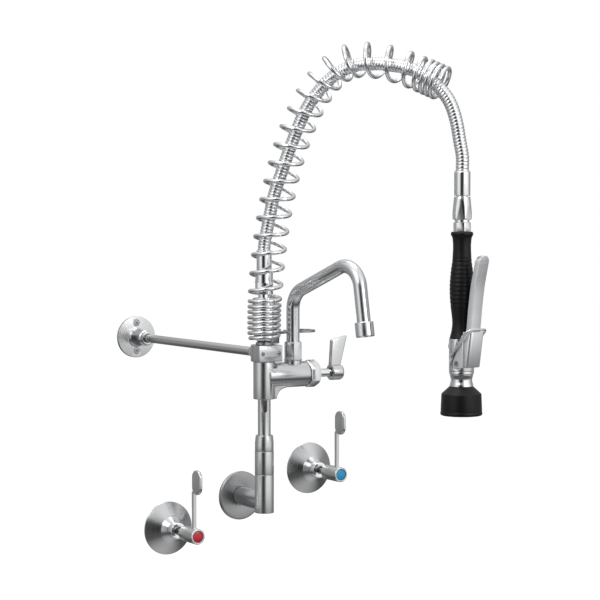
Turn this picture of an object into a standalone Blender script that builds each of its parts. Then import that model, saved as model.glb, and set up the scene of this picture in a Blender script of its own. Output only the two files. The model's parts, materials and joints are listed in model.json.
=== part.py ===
"""A wall-mounted pre rinse faucet: riser, bracket, spout, spring boom, spray gun and two wall taps.

Metres, +Z up. The wall is the plane Y = 0 and the room lies towards -Y. The origin is the centre of
the back of the inlet plate, where the water enters. The riser column stands COLUMN_OUT from the wall.
Heights along the column are stacked: each piece starts a gap above the one that carries it.
"""
import bpy
import bmesh
from math import acos, asin, cos, hypot, pi, radians, sin, sqrt, tan

NAME = "pre_rinse_faucet"

# Fits and fineness
GAP = 0.0003  # between two faces that touch on the real product
FIT = 0.0003  # round a shaft, spigot or screw in its bore
MERGE = 0.00001
SHARP = radians(32)
ROUND_LARGE = 16
ROUND = 12
ROUND_SMALL = 8
THROUGH = 0.001  # how far a cutter runs past the face that it cuts

# Inlet and riser
COLUMN_OUT = 0.067
INLET_PLATE_RADIUS = 0.034
INLET_PLATE_THICKNESS = 0.0045
INLET_PLATE_CHAMFER = 0.0016
INLET_PIPE_RADIUS = 0.013
RISER_RADIUS = 0.01315
RISER_FOOT = 0.0153
ELBOW_RISE = 0.0374
WATERWAY_RADIUS = 0.0065
SPIGOT_RADIUS = 0.010
SPIGOT_LENGTH = 0.0126
SLEEVE_LENGTH = 0.0319
CHECK_VALVE_LENGTH = 0.0155
CHECK_VALVE_THROAT = 0.004
TAPER_NUT_RADIUS = 0.0129
TAPER_NUT_TOP_RADIUS = 0.01175
TAPER_NUT_LENGTH = 0.0214
TAPER_LENGTH = 0.0103
STUB_RADIUS = 0.0088
STUB_COLLAR_LENGTH = 0.0078
STUB_SHOWS = 0.0497
STUB_IN_BODY = 0.014
FLAT_DEPTH = 0.0013
FLAT_WIDTH = 0.0085
FLAT_LENGTH = 0.0165
FLAT_BELOW_BODY = 0.0025
FLAT_TURN = radians(-32)

# Faucet body
BODY_RADIUS = 0.015
BODY_HEIGHT = 0.0511
ARM_RADIUS = 0.0175
ARM_RISE = 0.0315
ARM_REACH = 0.0654
ARM_CHAMFER = 0.0018
CHAMBER_RADIUS = 0.0123
ARM_WATERWAY = 0.0060
CHAMBER_DEPTH = 0.0254
NECK_RADIUS = 0.008
NECK_BORE = 0.005
NECK_IN_PLUG = 0.0215
GUSSET_WIDTH = 0.020
SEAT_RADIUS = 0.012
SEAT_RISE = 0.0191
SEAT_BORE = 0.0073

# Wall bracket
CLAMP_HALF_WIDTH = 0.0185
CLAMP_FRONT = 0.018
CLAMP_HEIGHT = 0.0226
CLAMP_CONE_RADIUS = 0.0110
CLAMP_CONE_START = 0.0120
CLAMP_CONE_SWELL = 0.0170
CLAMP_CONE_END = 0.0340
CLAMP_SCREW_OUT = 0.0127
CLAMP_SCREW_RADIUS = 0.0016
CLAMP_SCREW_HEAD_RADIUS = 0.0026
CLAMP_SCREW_HEAD_LENGTH = 0.0028
CLAMP_SCREW_RECESS = 0.0004
CLAMP_SCREW_LENGTH = 0.0240
CLAMP_SCREW_SOCKET = 0.0013
ROD_RADIUS = 0.00615
ROD_SPIGOT_RADIUS = 0.0040
ROD_SPIGOT_LENGTH = 0.0140
ROD_IN_FLANGE = 0.0280
FLANGE_BEHIND_WALL_PLANE = 0.3180
FLANGE_RADIUS = 0.0315
FLANGE_THICKNESS = 0.0050
FLANGE_CHAMFER = 0.0010
FLANGE_FILLET = 0.0040
FLANGE_BOSS_RADIUS = 0.01185
FLANGE_BOSS_LENGTH = 0.0350
FLANGE_COLLAR_RADIUS = 0.0100
FLANGE_COLLAR_LENGTH = 0.0430
FLANGE_SCREW_OUT = 0.0213
FLANGE_SCREW_RADIUS = 0.0022
FLANGE_SCREW_HEAD_RADIUS = 0.0052
FLANGE_SCREW_HEAD_DEPTH = 0.0030
FLANGE_SCREW_SOCKET = 0.0016

# Gun hook, a bent flat strip clamped on the neck
HOOK_THICKNESS = 0.0030
HOOK_WASHER_RADIUS = 0.0115
HOOK_STRIP_WIDTH = 0.0100
HOOK_STEP_OUT = 0.0300
HOOK_STEP_RISE = 0.0125
HOOK_RING_OUT = 0.0882
HOOK_RING_RADIUS = 0.0225
HOOK_RING_WIDTH = 0.0070
HOOK_TURN = radians(25.3)
HOOK_MOUTH_START = radians(60)
HOOK_MOUTH_END = radians(125)

# Valve in the arm, its nut and its lever handle
CARTRIDGE_LENGTH = 0.0170
BONNET_GROOVE_RADIUS = 0.0145
BONNET_GROOVE = 0.0012
BONNET_ACROSS_FLATS = 0.0330
BONNET_CORNER_RADIUS = 0.0192
BONNET_LENGTH = 0.0171
BONNET_CHAMFER = 0.0035
BONNET_SPIGOT_RADIUS = 0.0120
BONNET_SPIGOT_LENGTH = 0.0076
BONNET_NOSE_RADIUS = 0.0090
BONNET_NOSE_LENGTH = 0.0022
SPINDLE_RADIUS = 0.00575
SPINDLE_SHOWS = 0.0212
SPINDLE_TIP_RADIUS = 0.0040
SPINDLE_TIP_LENGTH = 0.0088
HUB_RADIUS = 0.0110
HUB_LENGTH = 0.0175
HUB_RECESS_RADIUS = 0.0076
HUB_RECESS_DEPTH = 0.0020
HUB_ROUNDING = 0.0030
HANDLE_SCREW_RADIUS = 0.0018
HANDLE_SCREW_HEAD_RADIUS = 0.0038
HANDLE_SCREW_HEAD_LENGTH = 0.0026
HANDLE_SCREW_SOCKET = 0.0015
HANDLE_SCREW_LENGTH = 0.0100
BLADE_THICKNESS = 0.0065
BLADE_FOOT_INNER = 0.1052
BLADE_FOOT_OUTER = 0.1222
BLADE_TOP_INNER = 0.1080
BLADE_TOP_OUTER = 0.1340
BLADE_TOP_INNER_RISE = 0.0455
BLADE_TOP_OUTER_RISE = 0.0509
BLADE_FOOT_RISE = 0.0060

# Spout
SPOUT_OUT = 0.0462
SPOUT_TURN = radians(6)
SPOUT_NUT_RING_RADIUS = 0.0126
SPOUT_NUT_RING_LENGTH = 0.0016
SPOUT_NUT_LENGTH = 0.0256
SPOUT_NUT_ACROSS_FLATS = 0.0226
SPOUT_NUT_CORNER_RADIUS = 0.0127
SPOUT_NUT_CHAMFER = 0.0016
BUSH_RADIUS = 0.0106
BUSH_LENGTH = 0.0100
SPOUT_RADIUS = 0.0091
SPOUT_BORE = 0.0076
SPOUT_UPRIGHT = 0.0911
SPOUT_SPAN = 0.1382
SPOUT_RISE_ANGLE = radians(21)
SPOUT_LEG_LEAN = radians(9.3)
SPOUT_LEG = 0.0925
SPOUT_FIRST_BEND = 0.030
SPOUT_SECOND_BEND = 0.032
AERATOR_RADIUS = 0.0124
AERATOR_LENGTH = 0.0195
AERATOR_HOLDS = 0.0070
AERATOR_LIP = 0.0010
AERATOR_RECESS = 0.0018
INSERT_RADIUS = 0.0106
INSERT_LENGTH = 0.0060

# Spring plug and hose fittings, on the arch's own upright
ARCH_TURN = radians(-57.27)
PLUG_RADIUS = 0.0164
PLUG_FOOT_RADIUS = 0.0093
PLUG_CONE = 0.0134
PLUG_BARREL_LENGTH = 0.0524
PLUG_COLLAR_RADIUS = 0.0155
PLUG_COLLAR_LENGTH = 0.0080
PLUG_THREAD_RADIUS = 0.0080
PLUG_THREAD_SHOWS = 0.0050
PLUG_THREAD_IN_NUT = 0.0080
HOSE_NUT_ACROSS_FLATS = 0.0222
HOSE_NUT_CORNER_RADIUS = 0.0127
HOSE_NUT_HEX_LENGTH = 0.0155
HOSE_NUT_NECK_LENGTH = 0.0045
HOSE_NUT_BAND_RADIUS = 0.0120
HOSE_NUT_BAND_LENGTH = 0.0120
TAIL_RADIUS = 0.0080
TAIL_LENGTH = 0.0100
TAIL_BORE = 0.0045
LOWER_FERRULE_RADIUS = 0.0103
LOWER_FERRULE_LENGTH = 0.0277
HOSE_IN_FERRULE = 0.0060

# Hose: its ribs, and its route as (out along the arch, up from the foot of the plug), chosen by hand
HOSE_RADIUS = 0.0087
HOSE_GROOVE_RADIUS = 0.0077
HOSE_BORE = 0.0050
HOSE_RIB_PITCH = 0.0050
HOSE_ROUTE = (
    (0.0010, 0.1360),
    (0.0046, 0.1540),
    (0.0094, 0.1760),
    (0.0152, 0.2000),
    (0.0262, 0.2300),
    (0.0440, 0.2750),
    (0.0645, 0.3170),
    (0.0890, 0.3460),
    (0.1100, 0.3617),
    (0.1365, 0.3713),
    (0.1660, 0.3724),
    (0.1870, 0.3700),
    (0.2090, 0.3655),
    (0.2300, 0.3570),
    (0.2550, 0.3375),
    (0.2690, 0.3190),
    (0.2775, 0.2955),
    (0.2826, 0.2690),
)
GUN_OUT = 0.2863
GUN_TOP_RISE = 0.2308
HOSE_STRAIGHT_END = 0.0180
SWING_ABOVE_GUN = 0.0506

# Arch spring: wire round a spine of two Bezier curves in the arch's plane
WIRE_RADIUS = 0.00282
SPRING_FOOT_RISE = 0.0054
SPRING_FOOT_RADIUS = 0.0189
SPRING_CLOSED_RADIUS = 0.0212
SPRING_OPEN_RADIUS = 0.0216
SPINE_STRAIGHT = 0.0374
SPINE_LEAN = radians(2.4)
SPINE_LEAN_HANDLE = 0.1920
SPINE_APEX_OUT = 0.1410
SPINE_APEX_RISE = 0.3784
SPINE_APEX_BACK_HANDLE = 0.0736
SPINE_APEX_FORE_HANDLE = 0.0440
SPINE_MOUTH_OUT = 0.2600
SPINE_MOUTH_RISE = 0.3434
SPINE_MOUTH_HANDLE = 0.0410
SPINE_MOUTH_DIP = radians(23)
SPRING_START_TURN = radians(200)
SPRING_POINTS_PER_TURN = 8
CLOSED_PITCH = 0.0070
OPEN_PITCH = 0.0249
CROWN_PITCH = 0.0300
MOUTH_PITCH = 0.0073
CLOSED_FOOT_LENGTH = 0.0470  # along the spine, from the foot of the spring
OPEN_FROM = 0.0700
OPEN_UNTIL = 0.4150
CROWN_FROM = 0.4400
CROWN_UNTIL = 0.4800
MOUTH_FROM = 0.5270
LAST_TURN_SPREAD = 0.0110

# Spray gun, stacked downwards from the end of the hose
GUN_TURN = radians(10.95)
GUN_FERRULE_RADIUS = 0.01055
GUN_FERRULE_LENGTH = 0.0323
GUN_FERRULE_ROUNDING = 0.0020
GUN_TAIL_RADIUS = 0.0075
GUN_TAIL_FLANGE_RADIUS = 0.0092
GUN_TAIL_FLANGE_LENGTH = 0.0030
SWIVEL_GROOVE = 0.0011
SWIVEL_NUT_LENGTH = 0.0299
SWIVEL_NUT_TOP_RADIUS = 0.0105
SWIVEL_NUT_CORNER_RADIUS = 0.0127
SWIVEL_NUT_ACROSS_FLATS = 0.0226
SWIVEL_NUT_CHAMFER = 0.0014
SWIVEL_CAP_LENGTH = 0.0210
WASHER_RADIUS = 0.0093
WASHER_BORE = 0.0050
WASHER_THICKNESS = 0.0017
INLET_SPIGOT_RADIUS = 0.0095
INLET_SPIGOT_LENGTH = 0.0063
INLET_GROOVE = 0.0031
INLET_NUT_LENGTH = 0.0119
INLET_NUT_ACROSS_FLATS = 0.0206
INLET_NUT_CORNER_RADIUS = 0.0114
INLET_NUT_CHAMFER = 0.0010
GUN_WATERWAY = 0.0045
CORE_RADIUS = 0.0070
CORE_IN_BODY = 0.0030
GRIP_SHAPE = (  # radius and distance below the top of the grip
    (0.0130, 0.0000),
    (0.0144, 0.0014),
    (0.0144, 0.0042),
    (0.0127, 0.0075),
    (0.0117, 0.0190),
    (0.0126, 0.0370),
    (0.0147, 0.0530),
    (0.0159, 0.0710),
    (0.0154, 0.0890),
    (0.0134, 0.1060),
    (0.0123, 0.1180),
    (0.0134, 0.1290),
    (0.0158, 0.1387),
)
GRIP_LENGTH = GRIP_SHAPE[-1][1]
GUN_BODY_RADIUS = 0.0164
GUN_BODY_LENGTH = 0.0421
COLLAR_RADIUS = 0.0155
COLLAR_RING_RADIUS = 0.0163
COLLAR_RING_LENGTH = 0.0028
COLLAR_WAIST_RADIUS = 0.0139
COLLAR_LENGTH = 0.0196
COLLAR_WATERWAY = 0.0080
BUMPER_TOP_RADIUS = 0.0159
BUMPER_SHOULDER_RADIUS = 0.0261
BUMPER_SHOULDER_DROP = 0.0095
BUMPER_FOOT_RADIUS = 0.0275
BUMPER_LENGTH = 0.0377
BUMPER_ROUNDING = 0.0022
BUMPER_MOUTH_RADIUS = 0.0225
BUMPER_ROOF = 0.0140
FACE_RADIUS = 0.0222
FACE_THICKNESS = 0.0110
FACE_NECK_RADIUS = 0.0100
FACE_NECK_IN_COLLAR = 0.0060
FACE_DISH = 0.0015

# Valve across the gun body, its lever and its hold-down ring. "Forward" is the lever's side.
VALVE_BELOW_BODY_TOP = 0.0102
VALVE_BORE = 0.0053
VALVE_FRONT_WALL = 0.0080
STEM_RADIUS = 0.0030
STEM_DISC_RADIUS = 0.0049
STEM_DISC_THICKNESS = 0.0030
STEM_DISC_BACK = 0.0010
STEM_GUIDE_RADIUS = 0.0016
STEM_GUIDE_LENGTH = 0.0050
CAP_HEAD_RADIUS = 0.00675
CAP_SEAT = 0.0155
CAP_HEAD_LENGTH = 0.0040
CAP_SPIGOT_RADIUS = 0.0050
CAP_SPIGOT_LENGTH = 0.0065
VALVE_SPRING_WIRE = 0.0005
VALVE_SPRING_RADIUS = 0.0036
VALVE_SPRING_TURNS = 3.5
VALVE_SPRING_POINTS = 8
PIVOT_ABOVE_BODY_FOOT = 0.0104
PIVOT_FORWARD = 0.0050
PIVOT_RADIUS = 0.0022
PIVOT_HEAD_RADIUS = 0.0036
PIVOT_HEAD_LENGTH = 0.0012
PIVOT_SOCKET = 0.0017
EAR_RADIUS = 0.0070
EAR_INNER = 0.0129
EAR_OUTER = 0.0154
EAR_CLEARANCE = 0.0010
HOOD_HALF_WIDTH = 0.0132
HOOD_WALL = 0.0023
HOOD_ROUNDING = 0.0040
HOOD_FOOT_DROP = 0.0049
HOOD_FOOT_FRONT = 0.0219
HOOD_TOP_RISE = 0.0417
HOOD_TOP_FRONT = 0.0287
HOOD_BACK = 0.0135
BLADE_WIDTH = 0.0180
BLADE_DEPTH = 0.0086
BLADE_WEB = 0.0024
LEVER_THROW = radians(4.5)
GRIP_CLEARANCE = 0.0008  # between the grip and the lever when it is pressed
BLADE_CENTRES = ((0.0180, 0.0350), (0.0200, 0.0430), (0.0232, 0.0720), (0.0272, 0.0999),
                 (0.0318, 0.1210), (0.0362, 0.1402))
RING_WIRE_RADIUS = 0.0016
RING_BACK = 0.0030
RING_ABOVE_BODY_FOOT = 0.0193
RING_HALF_WIDTH = 0.0180
RING_REACH = 0.0462
RING_SLOPE = radians(50)
RING_CORNER = 0.0050
RING_PIN_LENGTH = 0.0030

# Wall taps
TAP_PLACES = {"hot": (-0.1139, -0.0360), "cold": (0.1134, 0.0303)}
BELL_RADIUS = 0.0365
BELL_RIM = 0.0014
BELL_BREAK_RADIUS = 0.0180
BELL_BREAK_OUT = 0.0140
BELL_TOP_RADIUS = 0.0113
BELL_TOP_OUT = 0.0220
BELL_WALL = 0.0020
TAP_BODY_RADIUS = 0.0085
TAP_BODY_FLANGE_RADIUS = 0.0140
TAP_BODY_FLANGE_LENGTH = 0.0040
TAP_COLLAR_RADIUS = 0.0112
TAP_COLLAR_LENGTH = 0.0088
TAP_COLLAR_HOLE = 0.0056
TAP_SPINDLE_RADIUS = 0.0036
TAP_SPINDLE_SHOWS = 0.0190
TAP_SPINDLE_IN_BODY = 0.0220
TAP_SPINDLE_IN_HUB = 0.0120
TAP_HUB_RADIUS = 0.0105
TAP_HUB_LENGTH = 0.0360
TAP_HUB_CHAMFER = 0.0012
BUTTON_RADIUS = 0.0076
BUTTON_DEPTH = 0.0026
BUTTON_DOME = 0.0006
BAR_WIDTH = 0.0050
BAR_OUT = 0.0270  # the bar's back edge, from the back of the hub
BAR_RISE = 0.0600
PADDLE_DEPTH = 0.0225
PADDLE_FOOT = 0.0560
PADDLE_HEIGHT = 0.0330

# Heights of the column's joints, each from the piece below
ELBOW_TOP_Z = ELBOW_RISE
SPIGOT_TOP_Z = ELBOW_TOP_Z + SPIGOT_LENGTH
SLEEVE_Z = ELBOW_TOP_Z + GAP
TAPER_NUT_Z = SLEEVE_Z + SLEEVE_LENGTH + GAP
CHECK_VALVE_Z = SPIGOT_TOP_Z + GAP
STUB_Z = CHECK_VALVE_Z + CHECK_VALVE_LENGTH + GAP
TAPER_NUT_TOP_Z = TAPER_NUT_Z + TAPER_NUT_LENGTH
BODY_Z = TAPER_NUT_TOP_Z + STUB_SHOWS
BODY_TOP_Z = BODY_Z + BODY_HEIGHT
ARM_Z = BODY_Z + ARM_RISE
CLAMP_Z = BODY_TOP_Z + GAP
CLAMP_TOP_Z = CLAMP_Z + CLAMP_HEIGHT
ROD_Z = (CLAMP_Z + CLAMP_TOP_Z) / 2
HOOK_Z = CLAMP_TOP_Z + GAP
PLUG_Z = HOOK_Z + HOOK_THICKNESS + GAP
NECK_TOP_Z = PLUG_Z + NECK_IN_PLUG
SEAT_Z = ARM_Z + SEAT_RISE
PLUG_BARREL_Z = PLUG_Z + PLUG_BARREL_LENGTH
PLUG_COLLAR_Z = PLUG_BARREL_Z + PLUG_COLLAR_LENGTH
HOSE_NUT_Z = PLUG_COLLAR_Z + PLUG_THREAD_SHOWS
PLUG_TOP_Z = HOSE_NUT_Z + PLUG_THREAD_IN_NUT
HOSE_NUT_TOP_Z = HOSE_NUT_Z + HOSE_NUT_HEX_LENGTH + HOSE_NUT_NECK_LENGTH + HOSE_NUT_BAND_LENGTH
LOWER_FERRULE_Z = HOSE_NUT_TOP_Z + GAP
LOWER_FERRULE_TOP_Z = LOWER_FERRULE_Z + LOWER_FERRULE_LENGTH
HOSE_START_Z = LOWER_FERRULE_TOP_Z - HOSE_IN_FERRULE

# Heights of the gun, from the end of the hose down
GUN_TOP_Z = PLUG_Z + GUN_TOP_RISE
SWING_Z = GUN_TOP_Z + SWING_ABOVE_GUN
GUN_FERRULE_Z = GUN_TOP_Z - GUN_FERRULE_LENGTH
SWIVEL_TOP_Z = GUN_FERRULE_Z - SWIVEL_GROOVE
SWIVEL_Z = SWIVEL_TOP_Z - SWIVEL_NUT_LENGTH
INLET_NUT_TOP_Z = SWIVEL_Z - INLET_GROOVE
INLET_NUT_Z = INLET_NUT_TOP_Z - INLET_NUT_LENGTH
INLET_SPIGOT_Z = INLET_NUT_TOP_Z + INLET_SPIGOT_LENGTH
WASHER_Z = INLET_SPIGOT_Z + GAP
GUN_TAIL_Z = WASHER_Z + WASHER_THICKNESS + GAP
GRIP_TOP_Z = INLET_NUT_Z - GAP
GRIP_Z = GRIP_TOP_Z - GRIP_LENGTH
GUN_BODY_TOP_Z = GRIP_Z - GAP
GUN_BODY_Z = GUN_BODY_TOP_Z - GUN_BODY_LENGTH
COLLAR_TOP_Z = GUN_BODY_Z - GAP
COLLAR_Z = COLLAR_TOP_Z - COLLAR_LENGTH
BUMPER_TOP_Z = COLLAR_Z - GAP
BUMPER_Z = BUMPER_TOP_Z - BUMPER_LENGTH
VALVE_Z = GUN_BODY_TOP_Z - VALVE_BELOW_BODY_TOP
PIVOT_Z = GUN_BODY_Z + PIVOT_ABOVE_BODY_FOOT
RING_Z = GUN_BODY_Z + RING_ABOVE_BODY_FOOT

# Directions that a piece's own +Z is turned to
UP = (0, 0, 0)
TO_RIGHT = (0, pi / 2, 0)
TO_ROOM = (pi / 2, 0, 0)
TO_WALL = (-pi / 2, 0, 0)
SIDEWAYS = (pi / 2, 0, -pi / 2)  # a flat outline's X turns to the room, its Y turns up
FORWARD = (0, 0, -pi / 2)  # a piece's own +X turns to the room
UPRIGHT = (pi / 2, 0, 0)  # a flat outline's Y turns to its piece's own +Z


def new_collection(name):
    collection = bpy.data.collections.new(name)
    bpy.context.scene.collection.children.link(collection)
    return collection


def clear_scene():
    for obj in list(bpy.data.objects):
        bpy.data.objects.remove(obj, do_unlink=True)


clear_scene()
MODEL = new_collection(NAME)
CUTTERS = new_collection("cutters")


def material(name, colour, roughness, metallic):
    surface = bpy.data.materials.new(name)
    surface.use_nodes = True
    shader = surface.node_tree.nodes["Principled BSDF"]
    shader.inputs["Base Color"].default_value = (*colour, 1)
    shader.inputs["Roughness"].default_value = roughness
    shader.inputs["Metallic"].default_value = metallic
    surface.diffuse_color = (*colour, 1)
    return surface


SATIN_STEEL = material("satin stainless steel", (0.52, 0.52, 0.51), 0.34, 1)
CHROME = material("polished chrome", (0.78, 0.78, 0.79), 0.08, 1)
BRASS = material("brass", (0.66, 0.50, 0.22), 0.30, 1)
CERAMIC = material("ceramic valve body", (0.80, 0.79, 0.76), 0.45, 0)
BLACK_RUBBER = material("black moulded rubber", (0.012, 0.012, 0.012), 0.60, 0)
GREY_PLASTIC = material("grey nozzle plastic", (0.16, 0.16, 0.17), 0.45, 0)
RED_INDEX = material("red index enamel", (0.55, 0.01, 0.05), 0.20, 0)
BLUE_INDEX = material("blue index enamel", (0.01, 0.42, 0.75), 0.20, 0)


def frame(name, location, turn=0, parent=None):
    """An empty on a joint's axis, which carries the pieces that move with it."""
    empty = bpy.data.objects.new(name, None)
    empty.empty_display_size = 0.02
    empty.location = location
    empty.rotation_euler = (0, 0, turn)
    empty.parent = parent
    MODEL.objects.link(empty)
    return empty


def put(obj, surface, carrier, at=(0, 0, 0), facing=UP):
    """Names a finished piece's material and sets its place on its carrier."""
    obj.data.materials.clear()
    obj.data.materials.append(surface)
    obj.parent = carrier
    obj.location = at
    obj.rotation_euler = facing
    return obj


def smooth(mesh):
    mesh.shade_smooth()
    mesh.set_sharp_from_angle(angle=SHARP)


def evaluated_mesh(obj):
    bpy.context.view_layer.update()
    depsgraph = bpy.context.evaluated_depsgraph_get()
    return bpy.data.meshes.new_from_object(obj.evaluated_get(depsgraph))


def turned(name, profile, steps=ROUND):
    """A solid turned about its own Z from (radius, height) points that run down its outer side.

    A profile that starts off the axis has a bore: its points run on up the bore and close.
    """
    mesh = bpy.data.meshes.new(name)
    edit = bmesh.new()
    corners = [edit.verts.new((radius, 0, height)) for radius, height in profile]
    for upper, lower in zip(corners, corners[1:]):
        edit.edges.new((upper, lower))
    if profile[0][0] > 0:
        edit.edges.new((corners[-1], corners[0]))
    edit.to_mesh(mesh)
    edit.free()
    obj = bpy.data.objects.new(name, mesh)
    MODEL.objects.link(obj)
    screw = obj.modifiers.new("Turn", "SCREW")
    screw.steps = steps
    screw.render_steps = steps
    screw.use_merge_vertices = True
    screw.merge_threshold = MERGE
    baked = evaluated_mesh(obj)
    obj.modifiers.clear()
    obj.data = baked
    flatten_ends(baked)
    smooth(baked)
    return obj


def flatten_ends(mesh):
    """Makes one face of each flat end that the turning left as a fan round the axis."""
    edit = bmesh.new()
    edit.from_mesh(mesh)
    centres = [vertex for vertex in edit.verts if hypot(vertex.co.x, vertex.co.y) < MERGE
               and all(abs(face.normal.z) > 1 - MERGE for face in vertex.link_faces)]
    bmesh.ops.dissolve_verts(edit, verts=centres)
    edit.to_mesh(mesh)
    edit.free()


def rod(name, radius, low, high, steps=ROUND_SMALL):
    return turned(name, [(0, high), (radius, high), (radius, low), (0, low)], steps)


def block(name, low, high):
    mesh = bpy.data.meshes.new(name)
    edit = bmesh.new()
    bmesh.ops.create_cube(edit, size=1)
    for vertex in edit.verts:
        for axis in range(3):
            middle = (low[axis] + high[axis]) / 2
            vertex.co[axis] = middle + vertex.co[axis] * (high[axis] - low[axis])
    edit.to_mesh(mesh)
    edit.free()
    obj = bpy.data.objects.new(name, mesh)
    MODEL.objects.link(obj)
    return obj


def mesh_from_curve(name, curve):
    """A closed mesh object from a curve whose caps are welded on."""
    guide = bpy.data.objects.new(name + " curve", curve)
    MODEL.objects.link(guide)
    mesh = evaluated_mesh(guide)
    edit = bmesh.new()
    edit.from_mesh(mesh)
    bmesh.ops.remove_doubles(edit, verts=edit.verts, dist=MERGE)
    bmesh.ops.recalc_face_normals(edit, faces=edit.faces)
    edit.to_mesh(mesh)
    edit.free()
    obj = bpy.data.objects.new(name, mesh)
    obj.matrix_world = guide.matrix_world
    MODEL.objects.link(obj)
    bpy.data.objects.remove(guide, do_unlink=True)
    smooth(mesh)
    return obj


def tube(name, points, radii, resolution=2):
    """A tube with filled caps along a POLY spline; radii is one radius or one for each point."""
    curve = bpy.data.curves.new(name, "CURVE")
    curve.dimensions = "3D"
    curve.bevel_depth = radii if isinstance(radii, float) else 1.0
    curve.bevel_resolution = resolution
    curve.use_fill_caps = True
    spline = curve.splines.new("POLY")
    spline.points.add(len(points) - 1)
    for index, point in enumerate(points):
        spline.points[index].co = (*point, 1)
        if not isinstance(radii, float):
            spline.points[index].radius = radii[index]
    return mesh_from_curve(name, curve)


def plate(name, outline, thickness):
    """A flat outline, thickened to both sides of its plane."""
    curve = bpy.data.curves.new(name, "CURVE")
    curve.dimensions = "2D"
    curve.fill_mode = "BOTH"
    curve.extrude = thickness / 2
    spline = curve.splines.new("POLY")
    spline.points.add(len(outline) - 1)
    for index, (x, y) in enumerate(outline):
        spline.points[index].co = (x, y, 0, 1)
    spline.use_cyclic_u = True
    return mesh_from_curve(name, curve)


def arc(centre, radius, start, end, steps):
    """Points on an arc, both ends included; angles in radians."""
    angles = [start + (end - start) * step / steps for step in range(steps + 1)]
    return [(centre[0] + radius * cos(angle), centre[1] + radius * sin(angle)) for angle in angles]


def shape(obj, tool, operation, at=(0, 0, 0), facing=UP):
    """Cuts obj with tool, or joins or intersects them; the tool stays as a hidden wire piece."""
    tool.parent = obj
    tool.location = at
    tool.rotation_euler = facing
    tool.hide_render = True
    tool.display_type = "WIRE"
    MODEL.objects.unlink(tool)
    CUTTERS.objects.link(tool)
    boolean = obj.modifiers.new(tool.name, "BOOLEAN")
    boolean.operation = operation
    boolean.object = tool
    boolean.solver = "EXACT"
    return obj


def cut(obj, tool, at=(0, 0, 0), facing=UP):
    return shape(obj, tool, "DIFFERENCE", at, facing)


def join(obj, tool, at=(0, 0, 0), facing=UP):
    return shape(obj, tool, "UNION", at, facing)


def keep(obj, tool, at=(0, 0, 0), facing=UP):
    return shape(obj, tool, "INTERSECT", at, facing)


def hexagon(obj, across_flats, low, high, clear_radius=0.05, turn=0):
    """Keeps six flats on a turned piece between two heights."""
    corner = across_flats / 2 / cos(pi / 6)
    profile = [(0, high + 0.1), (clear_radius, high + 0.1), (clear_radius, high), (corner, high),
               (corner, low), (clear_radius, low), (clear_radius, low - 0.1), (0, low - 0.1)]
    return keep(obj, turned(obj.name + "_hexagon", profile, 6), facing=(0, 0, turn))


# ---------------------------------------------------------------------------- inlet and riser

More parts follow.
